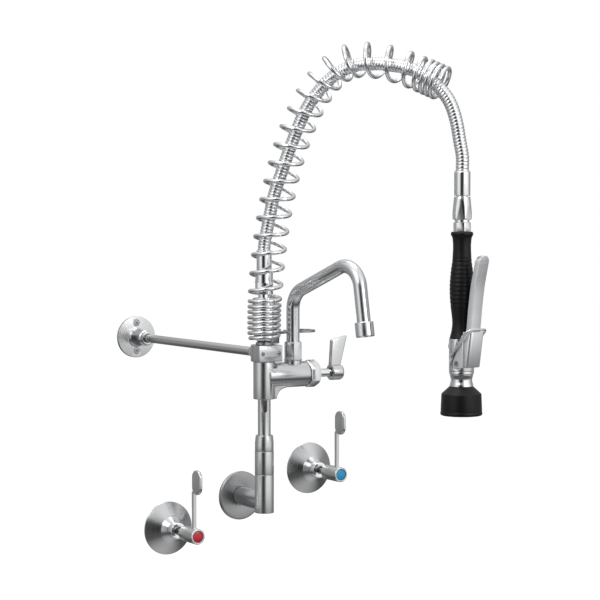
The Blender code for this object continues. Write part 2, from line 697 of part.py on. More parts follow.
def make_riser(column):
    plate_profile = [
        (INLET_PLATE_RADIUS - INLET_PLATE_CHAMFER, INLET_PLATE_THICKNESS),
        (INLET_PLATE_RADIUS, INLET_PLATE_THICKNESS - INLET_PLATE_CHAMFER),
        (INLET_PLATE_RADIUS, 0),
        (INLET_PIPE_RADIUS + FIT, 0),
        (INLET_PIPE_RADIUS + FIT, INLET_PLATE_THICKNESS),
    ]
    put(turned("inlet_plate", plate_profile, ROUND_LARGE), SATIN_STEEL, None, facing=TO_ROOM)

    elbow = turned("inlet_elbow", [
        (0, SPIGOT_TOP_Z), (SPIGOT_RADIUS, SPIGOT_TOP_Z), (SPIGOT_RADIUS, ELBOW_TOP_Z),
        (RISER_RADIUS, ELBOW_TOP_Z), (RISER_RADIUS, -RISER_FOOT), (0, -RISER_FOOT)], ROUND_LARGE)
    join(elbow, rod("inlet_pipe", INLET_PIPE_RADIUS, 0, COLUMN_OUT, ROUND), (0, 0, 0), TO_WALL)
    cut(elbow, rod("riser_waterway", WATERWAY_RADIUS, -WATERWAY_RADIUS, SPIGOT_TOP_Z + THROUGH))
    cut(elbow, rod("inlet_waterway", WATERWAY_RADIUS, 0, COLUMN_OUT + THROUGH), (0, 0, 0), TO_WALL)
    put(elbow, SATIN_STEEL, column)

    sleeve_bore = SPIGOT_RADIUS + FIT
    sleeve = [(RISER_RADIUS, SLEEVE_LENGTH), (RISER_RADIUS, 0), (sleeve_bore, 0),
              (sleeve_bore, SLEEVE_LENGTH)]
    put(turned("riser_sleeve", sleeve, ROUND_LARGE), SATIN_STEEL, column, (0, 0, SLEEVE_Z))

    valve = [(SPIGOT_RADIUS, CHECK_VALVE_LENGTH), (SPIGOT_RADIUS, 0), (WATERWAY_RADIUS, 0),
             (CHECK_VALVE_THROAT, CHECK_VALVE_LENGTH / 2), (WATERWAY_RADIUS, CHECK_VALVE_LENGTH)]
    put(turned("check_valve", valve, ROUND), BRASS, column, (0, 0, CHECK_VALVE_Z))

    stub_bore = STUB_RADIUS + FIT
    nut_counterbore = STUB_Z + STUB_COLLAR_LENGTH + GAP - TAPER_NUT_Z
    nut = [
        (TAPER_NUT_TOP_RADIUS, TAPER_NUT_LENGTH),
        (TAPER_NUT_RADIUS, TAPER_NUT_LENGTH - TAPER_LENGTH),
        (TAPER_NUT_RADIUS, 0),
        (sleeve_bore, 0),
        (sleeve_bore, nut_counterbore),
        (stub_bore, nut_counterbore),
        (stub_bore, TAPER_NUT_LENGTH),
    ]
    put(turned("taper_nut", nut, ROUND_LARGE), SATIN_STEEL, column, (0, 0, TAPER_NUT_Z))

    stub_length = BODY_Z + STUB_IN_BODY - STUB_Z
    stub = turned("riser_tube", [
        (STUB_RADIUS, stub_length), (STUB_RADIUS, STUB_COLLAR_LENGTH),
        (SPIGOT_RADIUS, STUB_COLLAR_LENGTH), (SPIGOT_RADIUS, 0),
        (WATERWAY_RADIUS, 0), (WATERWAY_RADIUS, stub_length)])
    flat_top = BODY_Z - FLAT_BELOW_BODY - STUB_Z
    half = FLAT_WIDTH / 2
    flat_foot = flat_top - FLAT_LENGTH + half
    flat = [(half, flat_foot), (half, flat_top), (-half, flat_top), (-half, flat_foot)]
    flat += arc((0, flat_foot), half, pi, 2 * pi, 4)[1:-1]
    for side in (0, pi):
        across = (0, STUB_RADIUS - FLAT_DEPTH + 0.005)
        turn = FLAT_TURN + side
        cut(stub, plate("spanner_flat", flat, 0.010),
            (across[1] * sin(turn), -across[1] * cos(turn), 0), (pi / 2, 0, turn))
    put(stub, SATIN_STEEL, column, (0, 0, STUB_Z))


def make_body(column):
    body = turned("faucet_body", [
        (0, NECK_TOP_Z), (NECK_RADIUS, NECK_TOP_Z), (NECK_RADIUS, BODY_TOP_Z),
        (BODY_RADIUS - GAP, BODY_TOP_Z), (BODY_RADIUS, BODY_TOP_Z - GAP),
        (BODY_RADIUS, BODY_Z), (0, BODY_Z)], ROUND_LARGE)
    arm = [(0, ARM_REACH), (ARM_RADIUS - ARM_CHAMFER, ARM_REACH),
           (ARM_RADIUS, ARM_REACH - ARM_CHAMFER), (ARM_RADIUS, 0), (0, 0)]
    join(body, turned("arm", arm, ROUND_LARGE), (0, 0, ARM_Z), TO_RIGHT)
    join(body, rod("spout_seat", SEAT_RADIUS, ARM_Z, SEAT_Z, ROUND), (SPOUT_OUT, 0, 0))
    sweep = ARM_RISE - ARM_RADIUS
    inside = BODY_RADIUS / 2
    corner = (BODY_RADIUS + sweep, BODY_Z)
    gusset = [(inside, BODY_Z)] + arc(corner, sweep, pi, pi / 2, 4) + [
        (BODY_RADIUS + sweep, ARM_Z), (inside, ARM_Z)]
    join(body, plate("gusset", gusset, GUSSET_WIDTH), facing=TO_ROOM)
    stub_bore = STUB_RADIUS + FIT
    stub_seat = BODY_Z + STUB_IN_BODY + GAP
    bore = [(0, NECK_TOP_Z + THROUGH), (NECK_BORE, NECK_TOP_Z + THROUGH), (NECK_BORE, BODY_TOP_Z),
            (WATERWAY_RADIUS, BODY_TOP_Z), (WATERWAY_RADIUS, stub_seat), (stub_bore, stub_seat),
            (stub_bore, BODY_Z - THROUGH), (0, BODY_Z - THROUGH)]
    cut(body, turned("column_bore", bore))
    chamber_foot = ARM_REACH - CHAMBER_DEPTH
    chamber = [(0, ARM_REACH + THROUGH), (CHAMBER_RADIUS, ARM_REACH + THROUGH),
               (CHAMBER_RADIUS, chamber_foot), (ARM_WATERWAY, chamber_foot),
               (ARM_WATERWAY, 0), (0, 0)]
    cut(body, turned("chamber", chamber, ROUND_LARGE), (0, 0, ARM_Z), TO_RIGHT)
    cut(body, rod("seat_bore", SEAT_BORE, ARM_Z, SEAT_Z + THROUGH, ROUND), (SPOUT_OUT, 0, 0))
    put(body, SATIN_STEEL, column)


# ---------------------------------------------------------------------------- wall bracket

def screw(name, head_radius, head_length, radius, length, socket, steps=ROUND_SMALL):
    """A socket screw whose head faces its own +Z, with the face of the head at height 0."""
    return turned(name, [
        (0, -head_length * 0.6), (socket, -head_length * 0.6), (socket, 0), (head_radius, 0),
        (head_radius, -head_length), (radius, -head_length), (radius, -length), (0, -length)], steps)


def clamp_screw_holes(clamp):
    head = CLAMP_SCREW_HEAD_RADIUS + FIT
    shank = CLAMP_SCREW_RADIUS + FIT
    shoulder = CLAMP_FRONT - CLAMP_SCREW_RECESS - CLAMP_SCREW_HEAD_LENGTH - GAP
    foot = CLAMP_FRONT - CLAMP_SCREW_RECESS - CLAMP_SCREW_LENGTH - GAP
    for side in (-1, 1):
        hole = [(0, CLAMP_FRONT + THROUGH), (head, CLAMP_FRONT + THROUGH), (head, shoulder),
                (shank, shoulder), (shank, foot), (0, foot)]
        cut(clamp, turned("clamp_screw_hole", hole, ROUND_SMALL),
            (side * CLAMP_SCREW_OUT, 0, CLAMP_HEIGHT / 2), TO_ROOM)


def make_bracket(column):
    neck_bore = NECK_RADIUS + FIT
    wide = CLAMP_HALF_WIDTH
    rear = rod("bracket_clamp_rear", wide, 0, CLAMP_HEIGHT, ROUND_LARGE)
    cut(rear, block("front_half", (-2 * wide, -2 * wide, -THROUGH),
                    (2 * wide, GAP / 2, CLAMP_HEIGHT + THROUGH)))
    cone = [(0, CLAMP_CONE_END), (ROD_RADIUS + FIT, CLAMP_CONE_END),
            (CLAMP_CONE_RADIUS, CLAMP_CONE_SWELL), (CLAMP_CONE_RADIUS, CLAMP_CONE_START),
            (0, CLAMP_CONE_START)]
    join(rear, turned("rod_socket", cone), (0, 0, CLAMP_HEIGHT / 2), TO_WALL)
    cut(rear, rod("rear_neck_bore", neck_bore, -THROUGH, CLAMP_HEIGHT + THROUGH, ROUND_LARGE))
    socket_foot = CLAMP_CONE_END - ROD_SPIGOT_LENGTH
    cut(rear, rod("rod_socket_bore", ROD_SPIGOT_RADIUS + FIT, socket_foot,
                  CLAMP_CONE_END + THROUGH, ROUND), (0, 0, CLAMP_HEIGHT / 2), TO_WALL)
    clamp_screw_holes(rear)
    put(rear, SATIN_STEEL, column, (0, 0, CLAMP_Z))

    front = block("bracket_clamp_front", (-wide, -CLAMP_FRONT, 0), (wide, -GAP / 2, CLAMP_HEIGHT))
    cut(front, rod("front_neck_bore", neck_bore, -THROUGH, CLAMP_HEIGHT + THROUGH, ROUND_LARGE))
    clamp_screw_holes(front)
    put(front, SATIN_STEEL, column, (0, 0, CLAMP_Z))

    for side, name in ((-1, "clamp_screw_left"), (1, "clamp_screw_right")):
        bolt = screw(name, CLAMP_SCREW_HEAD_RADIUS, CLAMP_SCREW_HEAD_LENGTH, CLAMP_SCREW_RADIUS,
                     CLAMP_SCREW_LENGTH, CLAMP_SCREW_SOCKET)
        at = (side * CLAMP_SCREW_OUT, -CLAMP_FRONT + CLAMP_SCREW_RECESS, ROD_Z)
        put(bolt, SATIN_STEEL, column, at, TO_ROOM)

    flange_back = COLUMN_OUT + FLANGE_BEHIND_WALL_PLANE
    rod_foot = socket_foot + GAP
    rod_shoulder = CLAMP_CONE_END + GAP
    rod_end = flange_back - FLANGE_COLLAR_LENGTH + ROD_IN_FLANGE
    bracket_rod = turned("bracket_rod", [
        (0, rod_end), (ROD_RADIUS, rod_end), (ROD_RADIUS, rod_shoulder),
        (ROD_SPIGOT_RADIUS, rod_shoulder), (ROD_SPIGOT_RADIUS, rod_foot), (0, rod_foot)])
    put(bracket_rod, SATIN_STEEL, column, (0, 0, ROD_Z), TO_WALL)

    bore = ROD_RADIUS + FIT
    bore_foot = FLANGE_COLLAR_LENGTH - ROD_IN_FLANGE - GAP
    boss = FLANGE_BOSS_RADIUS
    collar = FLANGE_COLLAR_RADIUS
    fillet = FLANGE_FILLET
    root = (boss + fillet, FLANGE_THICKNESS + fillet)
    profile = [(0, bore_foot), (bore, bore_foot), (bore, FLANGE_COLLAR_LENGTH),
               (collar, FLANGE_COLLAR_LENGTH), (collar, FLANGE_BOSS_LENGTH + (boss - collar)),
               (boss, FLANGE_BOSS_LENGTH)]
    profile += arc(root, fillet, pi, 1.5 * pi, 2)
    profile += [(FLANGE_RADIUS - FLANGE_CHAMFER, FLANGE_THICKNESS),
                (FLANGE_RADIUS, FLANGE_THICKNESS - FLANGE_CHAMFER), (FLANGE_RADIUS, 0), (0, 0)]
    flange = turned("bracket_flange", profile, ROUND_LARGE)
    head = FLANGE_SCREW_HEAD_RADIUS + FIT
    shank = FLANGE_SCREW_RADIUS + FIT
    seat = FLANGE_THICKNESS - FLANGE_SCREW_HEAD_DEPTH
    for side in (-1, 1):
        hole = [(0, FLANGE_THICKNESS + THROUGH), (head, FLANGE_THICKNESS + THROUGH),
                (head, FLANGE_THICKNESS), (shank, seat), (shank, -THROUGH), (0, -THROUGH)]
        cut(flange, turned("flange_screw_hole", hole, ROUND_SMALL), (0, side * FLANGE_SCREW_OUT, 0))
    put(flange, SATIN_STEEL, column, (0, flange_back, ROD_Z), TO_ROOM)
    for side, name in ((1, "flange_screw_upper"), (-1, "flange_screw_lower")):
        depth = FLANGE_SCREW_HEAD_DEPTH
        bolt = turned(name, [
            (0, -depth / 2), (FLANGE_SCREW_SOCKET, -depth / 2), (FLANGE_SCREW_SOCKET, 0),
            (FLANGE_SCREW_HEAD_RADIUS, 0), (FLANGE_SCREW_RADIUS, -depth),
            (FLANGE_SCREW_RADIUS, -FLANGE_THICKNESS + GAP), (0, -FLANGE_THICKNESS + GAP)],
            ROUND_SMALL)
        at = (0, flange_back - FLANGE_THICKNESS, ROD_Z + side * FLANGE_SCREW_OUT)
        put(bolt, SATIN_STEEL, column, at, TO_ROOM)


def make_hook(column):
    half = HOOK_STRIP_WIDTH / 2
    washer = HOOK_WASHER_RADIUS
    tangent = sqrt(washer * washer - half * half)
    foot = [(HOOK_STEP_OUT, -half), (HOOK_STEP_OUT, half), (tangent, half)]
    start = asin(half / washer)
    foot += arc((0, 0), washer, start, 2 * pi - start, 12)[1:]
    hook = plate("gun_hook", foot, HOOK_THICKNESS)
    thick = HOOK_THICKNESS
    riser = block("hook_riser", (HOOK_STEP_OUT - thick, -half, -thick / 2),
                  (HOOK_STEP_OUT, half, HOOK_STEP_RISE + thick / 2))
    join(hook, riser)
    outer = HOOK_RING_RADIUS
    inner = HOOK_RING_RADIUS - HOOK_RING_WIDTH
    middle = (HOOK_RING_OUT, 0)
    ring = arc(middle, outer, HOOK_MOUTH_END, HOOK_MOUTH_START + 2 * pi, 10)
    ring += arc(middle, inner, HOOK_MOUTH_START + 2 * pi, HOOK_MOUTH_END, 10)
    join(hook, plate("hook_ring", ring, thick), (0, 0, HOOK_STEP_RISE))
    reach = HOOK_RING_OUT - (outer + inner) / 2
    strip = block("hook_strip", (HOOK_STEP_OUT - thick, -half, HOOK_STEP_RISE - thick / 2),
                  (reach, half, HOOK_STEP_RISE + thick / 2))
    join(hook, strip)
    cut(hook, rod("hook_neck_bore", NECK_RADIUS + FIT, -thick, thick, ROUND_LARGE))
    put(hook, SATIN_STEEL, column, (0, 0, HOOK_Z + thick / 2), (0, 0, HOOK_TURN))


# ---------------------------------------------------------------------------- valve and handle

def make_valve(handle):
    """The pieces along the arm, turned about X; their heights are distances from the column."""
    arm_end = ARM_REACH + GAP
    cartridge_foot = ARM_REACH - CHAMBER_DEPTH + GAP
    cartridge_top = cartridge_foot + CARTRIDGE_LENGTH
    spindle_bore = SPINDLE_RADIUS + FIT
    cartridge = [(BONNET_SPIGOT_RADIUS, cartridge_top), (BONNET_SPIGOT_RADIUS, cartridge_foot),
                 (spindle_bore, cartridge_foot), (spindle_bore, cartridge_top)]
    put(turned("valve_cartridge", cartridge, ROUND), CERAMIC, handle["carrier"], facing=TO_RIGHT)

    hex_start = arm_end + BONNET_GROOVE
    hex_end = hex_start + BONNET_LENGTH
    nose_end = hex_end + BONNET_NOSE_LENGTH
    chamfer = BONNET_CHAMFER
    nut = turned("bonnet_nut", [
        (BONNET_NOSE_RADIUS, nose_end), (BONNET_NOSE_RADIUS, hex_end),
        (BONNET_CORNER_RADIUS - 1.6 * chamfer, hex_end), (BONNET_CORNER_RADIUS, hex_end - chamfer),
        (BONNET_CORNER_RADIUS, hex_start + chamfer / 2),
        (BONNET_CORNER_RADIUS - chamfer / 2, hex_start),
        (BONNET_GROOVE_RADIUS, hex_start), (BONNET_GROOVE_RADIUS, arm_end),
        (BONNET_SPIGOT_RADIUS, arm_end), (BONNET_SPIGOT_RADIUS, arm_end - BONNET_SPIGOT_LENGTH),
        (spindle_bore, arm_end - BONNET_SPIGOT_LENGTH), (spindle_bore, nose_end)], ROUND_LARGE)
    hexagon(nut, BONNET_ACROSS_FLATS, hex_start, hex_end)
    put(nut, CHROME, handle["carrier"], facing=TO_RIGHT)

    hub_start = nose_end + SPINDLE_SHOWS
    recess_foot = hub_start + HUB_RECESS_DEPTH
    tip_end = recess_foot + SPINDLE_TIP_LENGTH
    shoulder = recess_foot - GAP
    screw_bore = HANDLE_SCREW_RADIUS + FIT
    hub_end = hub_start + HUB_LENGTH
    head_foot = hub_end - HANDLE_SCREW_HEAD_LENGTH - 2 * GAP
    screw_foot = hub_end - GAP - HANDLE_SCREW_LENGTH
    spindle = [(0, screw_foot - GAP), (screw_bore, screw_foot - GAP), (screw_bore, tip_end),
               (SPINDLE_TIP_RADIUS, tip_end), (SPINDLE_TIP_RADIUS, shoulder),
               (SPINDLE_RADIUS, shoulder), (SPINDLE_RADIUS, cartridge_foot + GAP),
               (0, cartridge_foot + GAP)]
    put(turned("valve_spindle", spindle), CHROME, handle["turn"], facing=TO_RIGHT)

    tip_bore = SPINDLE_TIP_RADIUS + FIT
    head_bore = HANDLE_SCREW_HEAD_RADIUS + FIT
    rounding = HUB_ROUNDING
    hub = [(HUB_RADIUS - rounding, hub_end), (HUB_RADIUS - 0.3 * rounding, hub_end - 0.3 * rounding),
           (HUB_RADIUS, hub_end - rounding), (HUB_RADIUS, hub_start + GAP),
           (HUB_RADIUS - GAP, hub_start), (HUB_RECESS_RADIUS, hub_start),
           (HUB_RECESS_RADIUS, recess_foot), (tip_bore, recess_foot), (tip_bore, tip_end + GAP),
           (screw_bore, tip_end + GAP), (screw_bore, head_foot), (head_bore, head_foot),
           (head_bore, hub_end)]
    lever = turned("lever_handle", hub)
    blade = [(BLADE_FOOT_OUTER, BLADE_FOOT_RISE), (BLADE_TOP_OUTER, BLADE_TOP_OUTER_RISE),
             (BLADE_TOP_INNER, BLADE_TOP_INNER_RISE), (BLADE_FOOT_INNER, BLADE_FOOT_RISE)]
    # The hub's own axis is X, so the blade's outline is turned to lie in it
    upright = plate("handle_blade", blade, BLADE_THICKNESS)
    join(lever, upright, facing=(pi / 2, -pi / 2, 0))
    cut(lever, turned("hub_clearance", [
        (0, head_foot), (screw_bore, head_foot), (screw_bore, tip_end + GAP),
        (tip_bore, tip_end + GAP), (tip_bore, recess_foot), (HUB_RECESS_RADIUS, recess_foot),
        (HUB_RECESS_RADIUS, 0), (0, 0)]))
    put(lever, SATIN_STEEL, handle["turn"], facing=TO_RIGHT)

    bolt = screw("handle_screw", HANDLE_SCREW_HEAD_RADIUS, HANDLE_SCREW_HEAD_LENGTH,
                 HANDLE_SCREW_RADIUS, HANDLE_SCREW_LENGTH, HANDLE_SCREW_SOCKET)
    put(bolt, SATIN_STEEL, handle["turn"], (hub_end - GAP, 0, 0), TO_RIGHT)


# ---------------------------------------------------------------------------- spout

def rounded_path(corners, radii, steps):
    """A path through corners, with an arc of the given radius at each inner one."""
    path = [corners[0]]
    for index, radius in enumerate(radii):
        before, corner, after = corners[index:index + 3]
        into = (corner[0] - before[0], corner[1] - before[1])
        out = (after[0] - corner[0], after[1] - corner[1])
        into = (into[0] / hypot(*into), into[1] / hypot(*into))
        out = (out[0] / hypot(*out), out[1] / hypot(*out))
        cosine = into[0] * out[0] + into[1] * out[1]
        tangent = radius * sqrt((1 - cosine) / (1 + cosine))
        side = 1 if into[0] * out[1] - into[1] * out[0] > 0 else -1
        start = (corner[0] - tangent * into[0], corner[1] - tangent * into[1])
        middle = (start[0] - side * radius * into[1], start[1] + side * radius * into[0])
        swing = acos(cosine)
        for step in range(steps + 1):
            angle = side * swing * step / steps
            arm = (start[0] - middle[0], start[1] - middle[1])
            path.append((middle[0] + arm[0] * cos(angle) - arm[1] * sin(angle),
                         middle[1] + arm[0] * sin(angle) + arm[1] * cos(angle)))
    path.append(corners[-1])
    return path


def make_spout(seat, spout):
    foot = SEAT_Z + GAP
    bush_bore = SPOUT_RADIUS + FIT
    bush = [(BUSH_RADIUS, BUSH_LENGTH), (BUSH_RADIUS, 0), (bush_bore, 0), (bush_bore, BUSH_LENGTH)]
    put(turned("spout_bush", bush, ROUND_LARGE), GREY_PLASTIC, seat, (0, 0, foot))

    ring = SPOUT_NUT_RING_RADIUS
    corner = SPOUT_NUT_CORNER_RADIUS
    length = SPOUT_NUT_LENGTH
    bush_clear = BUSH_RADIUS + FIT
    roof = BUSH_LENGTH + GAP
    nut = turned("spout_nut", [
        (corner - SPOUT_NUT_CHAMFER, length), (corner, length - SPOUT_NUT_CHAMFER),
        (corner, SPOUT_NUT_RING_LENGTH), (ring, SPOUT_NUT_RING_LENGTH), (ring, 0), (bush_clear, 0),
        (bush_clear, roof), (bush_bore, roof), (bush_bore, length)], ROUND_LARGE)
    hexagon(nut, SPOUT_NUT_ACROSS_FLATS, SPOUT_NUT_RING_LENGTH, length, turn=radians(4))
    put(nut, CHROME, seat, (0, 0, foot))

    elbow_z = foot + SPOUT_UPRIGHT
    crown = (SPOUT_SPAN, elbow_z + SPOUT_SPAN * tan(SPOUT_RISE_ANGLE))
    down = (sin(SPOUT_LEG_LEAN), -cos(SPOUT_LEG_LEAN))

    def on_leg(distance):
        return (crown[0] + distance * down[0], crown[1] + distance * down[1])

    corners = [(0, foot), (0, elbow_z), crown, on_leg(SPOUT_LEG)]
    path = rounded_path(corners, (SPOUT_FIRST_BEND, SPOUT_SECOND_BEND), 4)
    pipe = tube("spout_tube", [(0, -reach, rise) for reach, rise in path], SPOUT_RADIUS, 2)
    start, end = on_leg(SPOUT_LEG + THROUGH), (0, foot - THROUGH)
    inside = [end] + path[1:-1] + [start]
    cut(pipe, tube("spout_bore", [(0, -reach, rise) for reach, rise in inside], SPOUT_BORE, 1))
    put(pipe, CHROME, spout)

    aerator_foot = on_leg(SPOUT_LEG - AERATOR_HOLDS + AERATOR_LENGTH)
    insert_foot = AERATOR_RECESS
    insert_top = insert_foot + INSERT_LENGTH
    seat_height = AERATOR_LENGTH - AERATOR_HOLDS - GAP
    housing = [
        (AERATOR_RADIUS - AERATOR_LIP, AERATOR_LENGTH), (AERATOR_RADIUS, AERATOR_LENGTH - AERATOR_LIP),
        (AERATOR_RADIUS, AERATOR_LIP), (AERATOR_RADIUS - AERATOR_LIP / 2, 0),
        (INSERT_RADIUS + FIT, 0), (INSERT_RADIUS + FIT, insert_top + GAP),
        (SPOUT_BORE, insert_top + GAP), (SPOUT_BORE, seat_height), (SPOUT_RADIUS + FIT, seat_height),
        (SPOUT_RADIUS + FIT, AERATOR_LENGTH)]
    tilt = (-SPOUT_LEG_LEAN, 0, 0)
    at = (0, -aerator_foot[0], aerator_foot[1])
    put(turned("aerator_housing", housing, ROUND_LARGE), CHROME, spout, at, tilt)
    insert = [(0, insert_top), (INSERT_RADIUS, insert_top), (INSERT_RADIUS, insert_foot),
              (INSERT_RADIUS * 0.8, insert_foot), (INSERT_RADIUS * 0.8, insert_foot + AERATOR_LIP),
              (0, insert_foot + AERATOR_LIP)]
    put(turned("aerator_insert", insert, ROUND), GREY_PLASTIC, spout, at, tilt)


# ---------------------------------------------------------------------------- boom

def make_plug(boom):
    neck_bore = NECK_RADIUS + FIT
    plug = turned("spring_plug", [
        (PLUG_THREAD_RADIUS, PLUG_TOP_Z), (PLUG_THREAD_RADIUS, PLUG_COLLAR_Z),
        (PLUG_COLLAR_RADIUS, PLUG_COLLAR_Z), (PLUG_COLLAR_RADIUS, PLUG_BARREL_Z),
        (PLUG_RADIUS, PLUG_BARREL_Z), (PLUG_RADIUS, PLUG_Z + PLUG_CONE),
        (PLUG_FOOT_RADIUS, PLUG_Z), (neck_bore, PLUG_Z), (neck_bore, NECK_TOP_Z + GAP),
        (NECK_BORE, NECK_TOP_Z + GAP), (NECK_BORE, PLUG_TOP_Z)], ROUND_LARGE)
    put(plug, CHROME, boom)

    hex_top = HOSE_NUT_Z + HOSE_NUT_HEX_LENGTH
    band_foot = hex_top + HOSE_NUT_NECK_LENGTH
    thread_bore = PLUG_THREAD_RADIUS + FIT
    tail_bore = TAIL_RADIUS + FIT
    tail_seat = HOSE_NUT_TOP_Z - TAIL_LENGTH - GAP
    corner = HOSE_NUT_CORNER_RADIUS
    nut = turned("hose_lower_nut", [
        (HOSE_NUT_BAND_RADIUS, HOSE_NUT_TOP_Z), (HOSE_NUT_BAND_RADIUS, band_foot),
        (corner, hex_top), (corner, HOSE_NUT_Z + THROUGH), (corner - THROUGH, HOSE_NUT_Z),
        (thread_bore, HOSE_NUT_Z), (thread_bore, PLUG_TOP_Z + GAP), (NECK_BORE, PLUG_TOP_Z + GAP),
        (NECK_BORE, tail_seat), (tail_bore, tail_seat), (tail_bore, HOSE_NUT_TOP_Z)], ROUND_LARGE)
    hexagon(nut, HOSE_NUT_ACROSS_FLATS, HOSE_NUT_Z - THROUGH, hex_top, turn=radians(10))
    put(nut, CHROME, boom)

    hose_bore = HOSE_RADIUS + FIT
    hose_seat = HOSE_START_Z - GAP
    ferrule = turned("hose_lower_ferrule", [
        (LOWER_FERRULE_RADIUS - THROUGH, LOWER_FERRULE_TOP_Z),
        (LOWER_FERRULE_RADIUS, LOWER_FERRULE_TOP_Z - THROUGH),
        (LOWER_FERRULE_RADIUS, LOWER_FERRULE_Z), (TAIL_RADIUS, LOWER_FERRULE_Z),
        (TAIL_RADIUS, HOSE_NUT_TOP_Z - TAIL_LENGTH), (TAIL_BORE, HOSE_NUT_TOP_Z - TAIL_LENGTH),
        (TAIL_BORE, hose_seat), (hose_bore, hose_seat), (hose_bore, LOWER_FERRULE_TOP_Z)],
        ROUND_LARGE)
    put(ferrule, CHROME, boom)


def bezier(start, first, second, end, share):
    rest = 1 - share
    weights = (rest ** 3, 3 * rest * rest * share, 3 * rest * share * share, share ** 3)
    corners = (start, first, second, end)
    return tuple(sum(weight * point[axis] for weight, point in zip(weights, corners))
                 for axis in (0, 1))


def spine_points():
    """The arch's centre line as close (out, up) points, from the foot of the spring to its mouth."""
    lean_end = (0, PLUG_Z + SPINE_STRAIGHT)
    apex = (SPINE_APEX_OUT, PLUG_Z + SPINE_APEX_RISE)
    mouth = (SPINE_MOUTH_OUT, PLUG_Z + SPINE_MOUTH_RISE)
    lean = (SPINE_LEAN_HANDLE * sin(SPINE_LEAN), lean_end[1] + SPINE_LEAN_HANDLE * cos(SPINE_LEAN))
    into_apex = (apex[0] - SPINE_APEX_BACK_HANDLE, apex[1])
    from_apex = (apex[0] + SPINE_APEX_FORE_HANDLE, apex[1])
    into_mouth = (mouth[0] - SPINE_MOUTH_HANDLE * cos(SPINE_MOUTH_DIP),
                  mouth[1] + SPINE_MOUTH_HANDLE * sin(SPINE_MOUTH_DIP))
    points = [(0, PLUG_Z + SPRING_FOOT_RISE), lean_end]
    count = 120
    points += [bezier(lean_end, lean, into_apex, apex, step / count) for step in range(1, count + 1)]
    points += [bezier(apex, from_apex, into_mouth, mouth, step / count)
               for step in range(1, count + 1)]
    return points


class Path:
    """A polyline in the arch's plane that is read by the length along it."""

    def __init__(self, points):
        self.points = points
        self.lengths = [0.0]
        for before, after in zip(points, points[1:]):
            step = hypot(after[0] - before[0], after[1] - before[1])
            self.lengths.append(self.lengths[-1] + step)
        self.length = self.lengths[-1]

    def segment(self, distance):
        index = 0
        while index < len(self.points) - 2 and self.lengths[index + 1] < distance:
            index += 1
        return index

    def at(self, distance):
        index = self.segment(distance)
        before, after = self.points[index], self.points[index + 1]
        share = (distance - self.lengths[index]) / (self.lengths[index + 1] - self.lengths[index])
        return (before[0] + share * (after[0] - before[0]), before[1] + share * (after[1] - before[1]))

    def direction(self, distance):
        reach = 0.002
        low = self.at(max(0.0, distance - reach))
        high = self.at(min(self.length, distance + reach))
        size = hypot(high[0] - low[0], high[1] - low[1])
        return ((high[0] - low[0]) / size, (high[1] - low[1]) / size)


def blend(knots, distance):
    """Straight interpolation between (distance, value) knots, held at both ends."""
    if distance <= knots[0][0]:
        return knots[0][1]
    for before, after in zip(knots, knots[1:]):
        if distance <= after[0]:
            share = (distance - before[0]) / (after[0] - before[0])
            return before[1] + share * (after[1] - before[1])
    return knots[-1][1]


def spring_wire():
    """The wire's centre line: a right-handed helix whose pitch and radius change along the spine."""
    spine = Path(spine_points())
    pitches = [(CLOSED_FOOT_LENGTH, CLOSED_PITCH), (OPEN_FROM, OPEN_PITCH), (OPEN_UNTIL, OPEN_PITCH),
               (CROWN_FROM, CROWN_PITCH), (CROWN_UNTIL, CROWN_PITCH), (MOUTH_FROM, MOUTH_PITCH),
               (spine.length - LAST_TURN_SPREAD, MOUTH_PITCH),
               (spine.length, LAST_TURN_SPREAD)]
    radii = [(0, SPRING_FOOT_RADIUS), (CLOSED_PITCH, SPRING_CLOSED_RADIUS),
             (CLOSED_FOOT_LENGTH, SPRING_CLOSED_RADIUS), (OPEN_FROM, SPRING_OPEN_RADIUS)]
    slices = 400
    step_turn = 2 * pi / SPRING_POINTS_PER_TURN
    stride = spine.length / (slices * 20)
    points = []
    turn = 0.0
    distance = 0.0
    next_turn = 0.0
    while distance <= spine.length:
        if turn >= next_turn:
            centre = spine.at(distance)
            ahead = spine.direction(distance)
            radius = blend(radii, distance)
            angle = SPRING_START_TURN + turn
            across = radius * cos(angle)
            aside = radius * sin(angle)
            points.append((centre[0] + across * ahead[1], aside, centre[1] - across * ahead[0]))
            next_turn += step_turn
        turn += 2 * pi * stride / blend(pitches, distance)
        distance += stride
    return points


def least_gap(points, per_turn, wire_radius):
    """The least space between one turn of a wire and the next, measured between its points."""
    least = 1.0
    for index, here in enumerate(points):
        for other in points[index + per_turn // 2:index + 2 * per_turn]:
            span = sqrt(sum((here[axis] - other[axis]) ** 2 for axis in range(3)))
            least = min(least, span - 2 * wire_radius)
    return least


def hose_points():
    """The hose's centre line, from inside the lower ferrule to inside the gun's ferrule."""
    route = [(0, HOSE_START_Z), (0, LOWER_FERRULE_TOP_Z)]
    route += [(out, PLUG_Z + rise) for out, rise in HOSE_ROUTE]
    route += [(GUN_OUT, GUN_TOP_Z + HOSE_STRAIGHT_END), (GUN_OUT, GUN_TOP_Z),
              (GUN_OUT, GUN_TOP_Z - HOSE_IN_FERRULE)]
    smooth_route = []
    for index in range(len(route) - 1):
        before = route[max(index - 1, 0)]
        start, end = route[index], route[index + 1]
        after = route[min(index + 2, len(route) - 1)]
        span = hypot(end[0] - start[0], end[1] - start[1])
        leave = handle(before, start, end, span)
        arrive = handle(start, end, after, span)
        first = (start[0] + leave[0], start[1] + leave[1])
        second = (end[0] - arrive[0], end[1] - arrive[1])
        smooth_route += [bezier(start, first, second, end, step / 12) for step in range(12)]
    return smooth_route + [route[-1]]


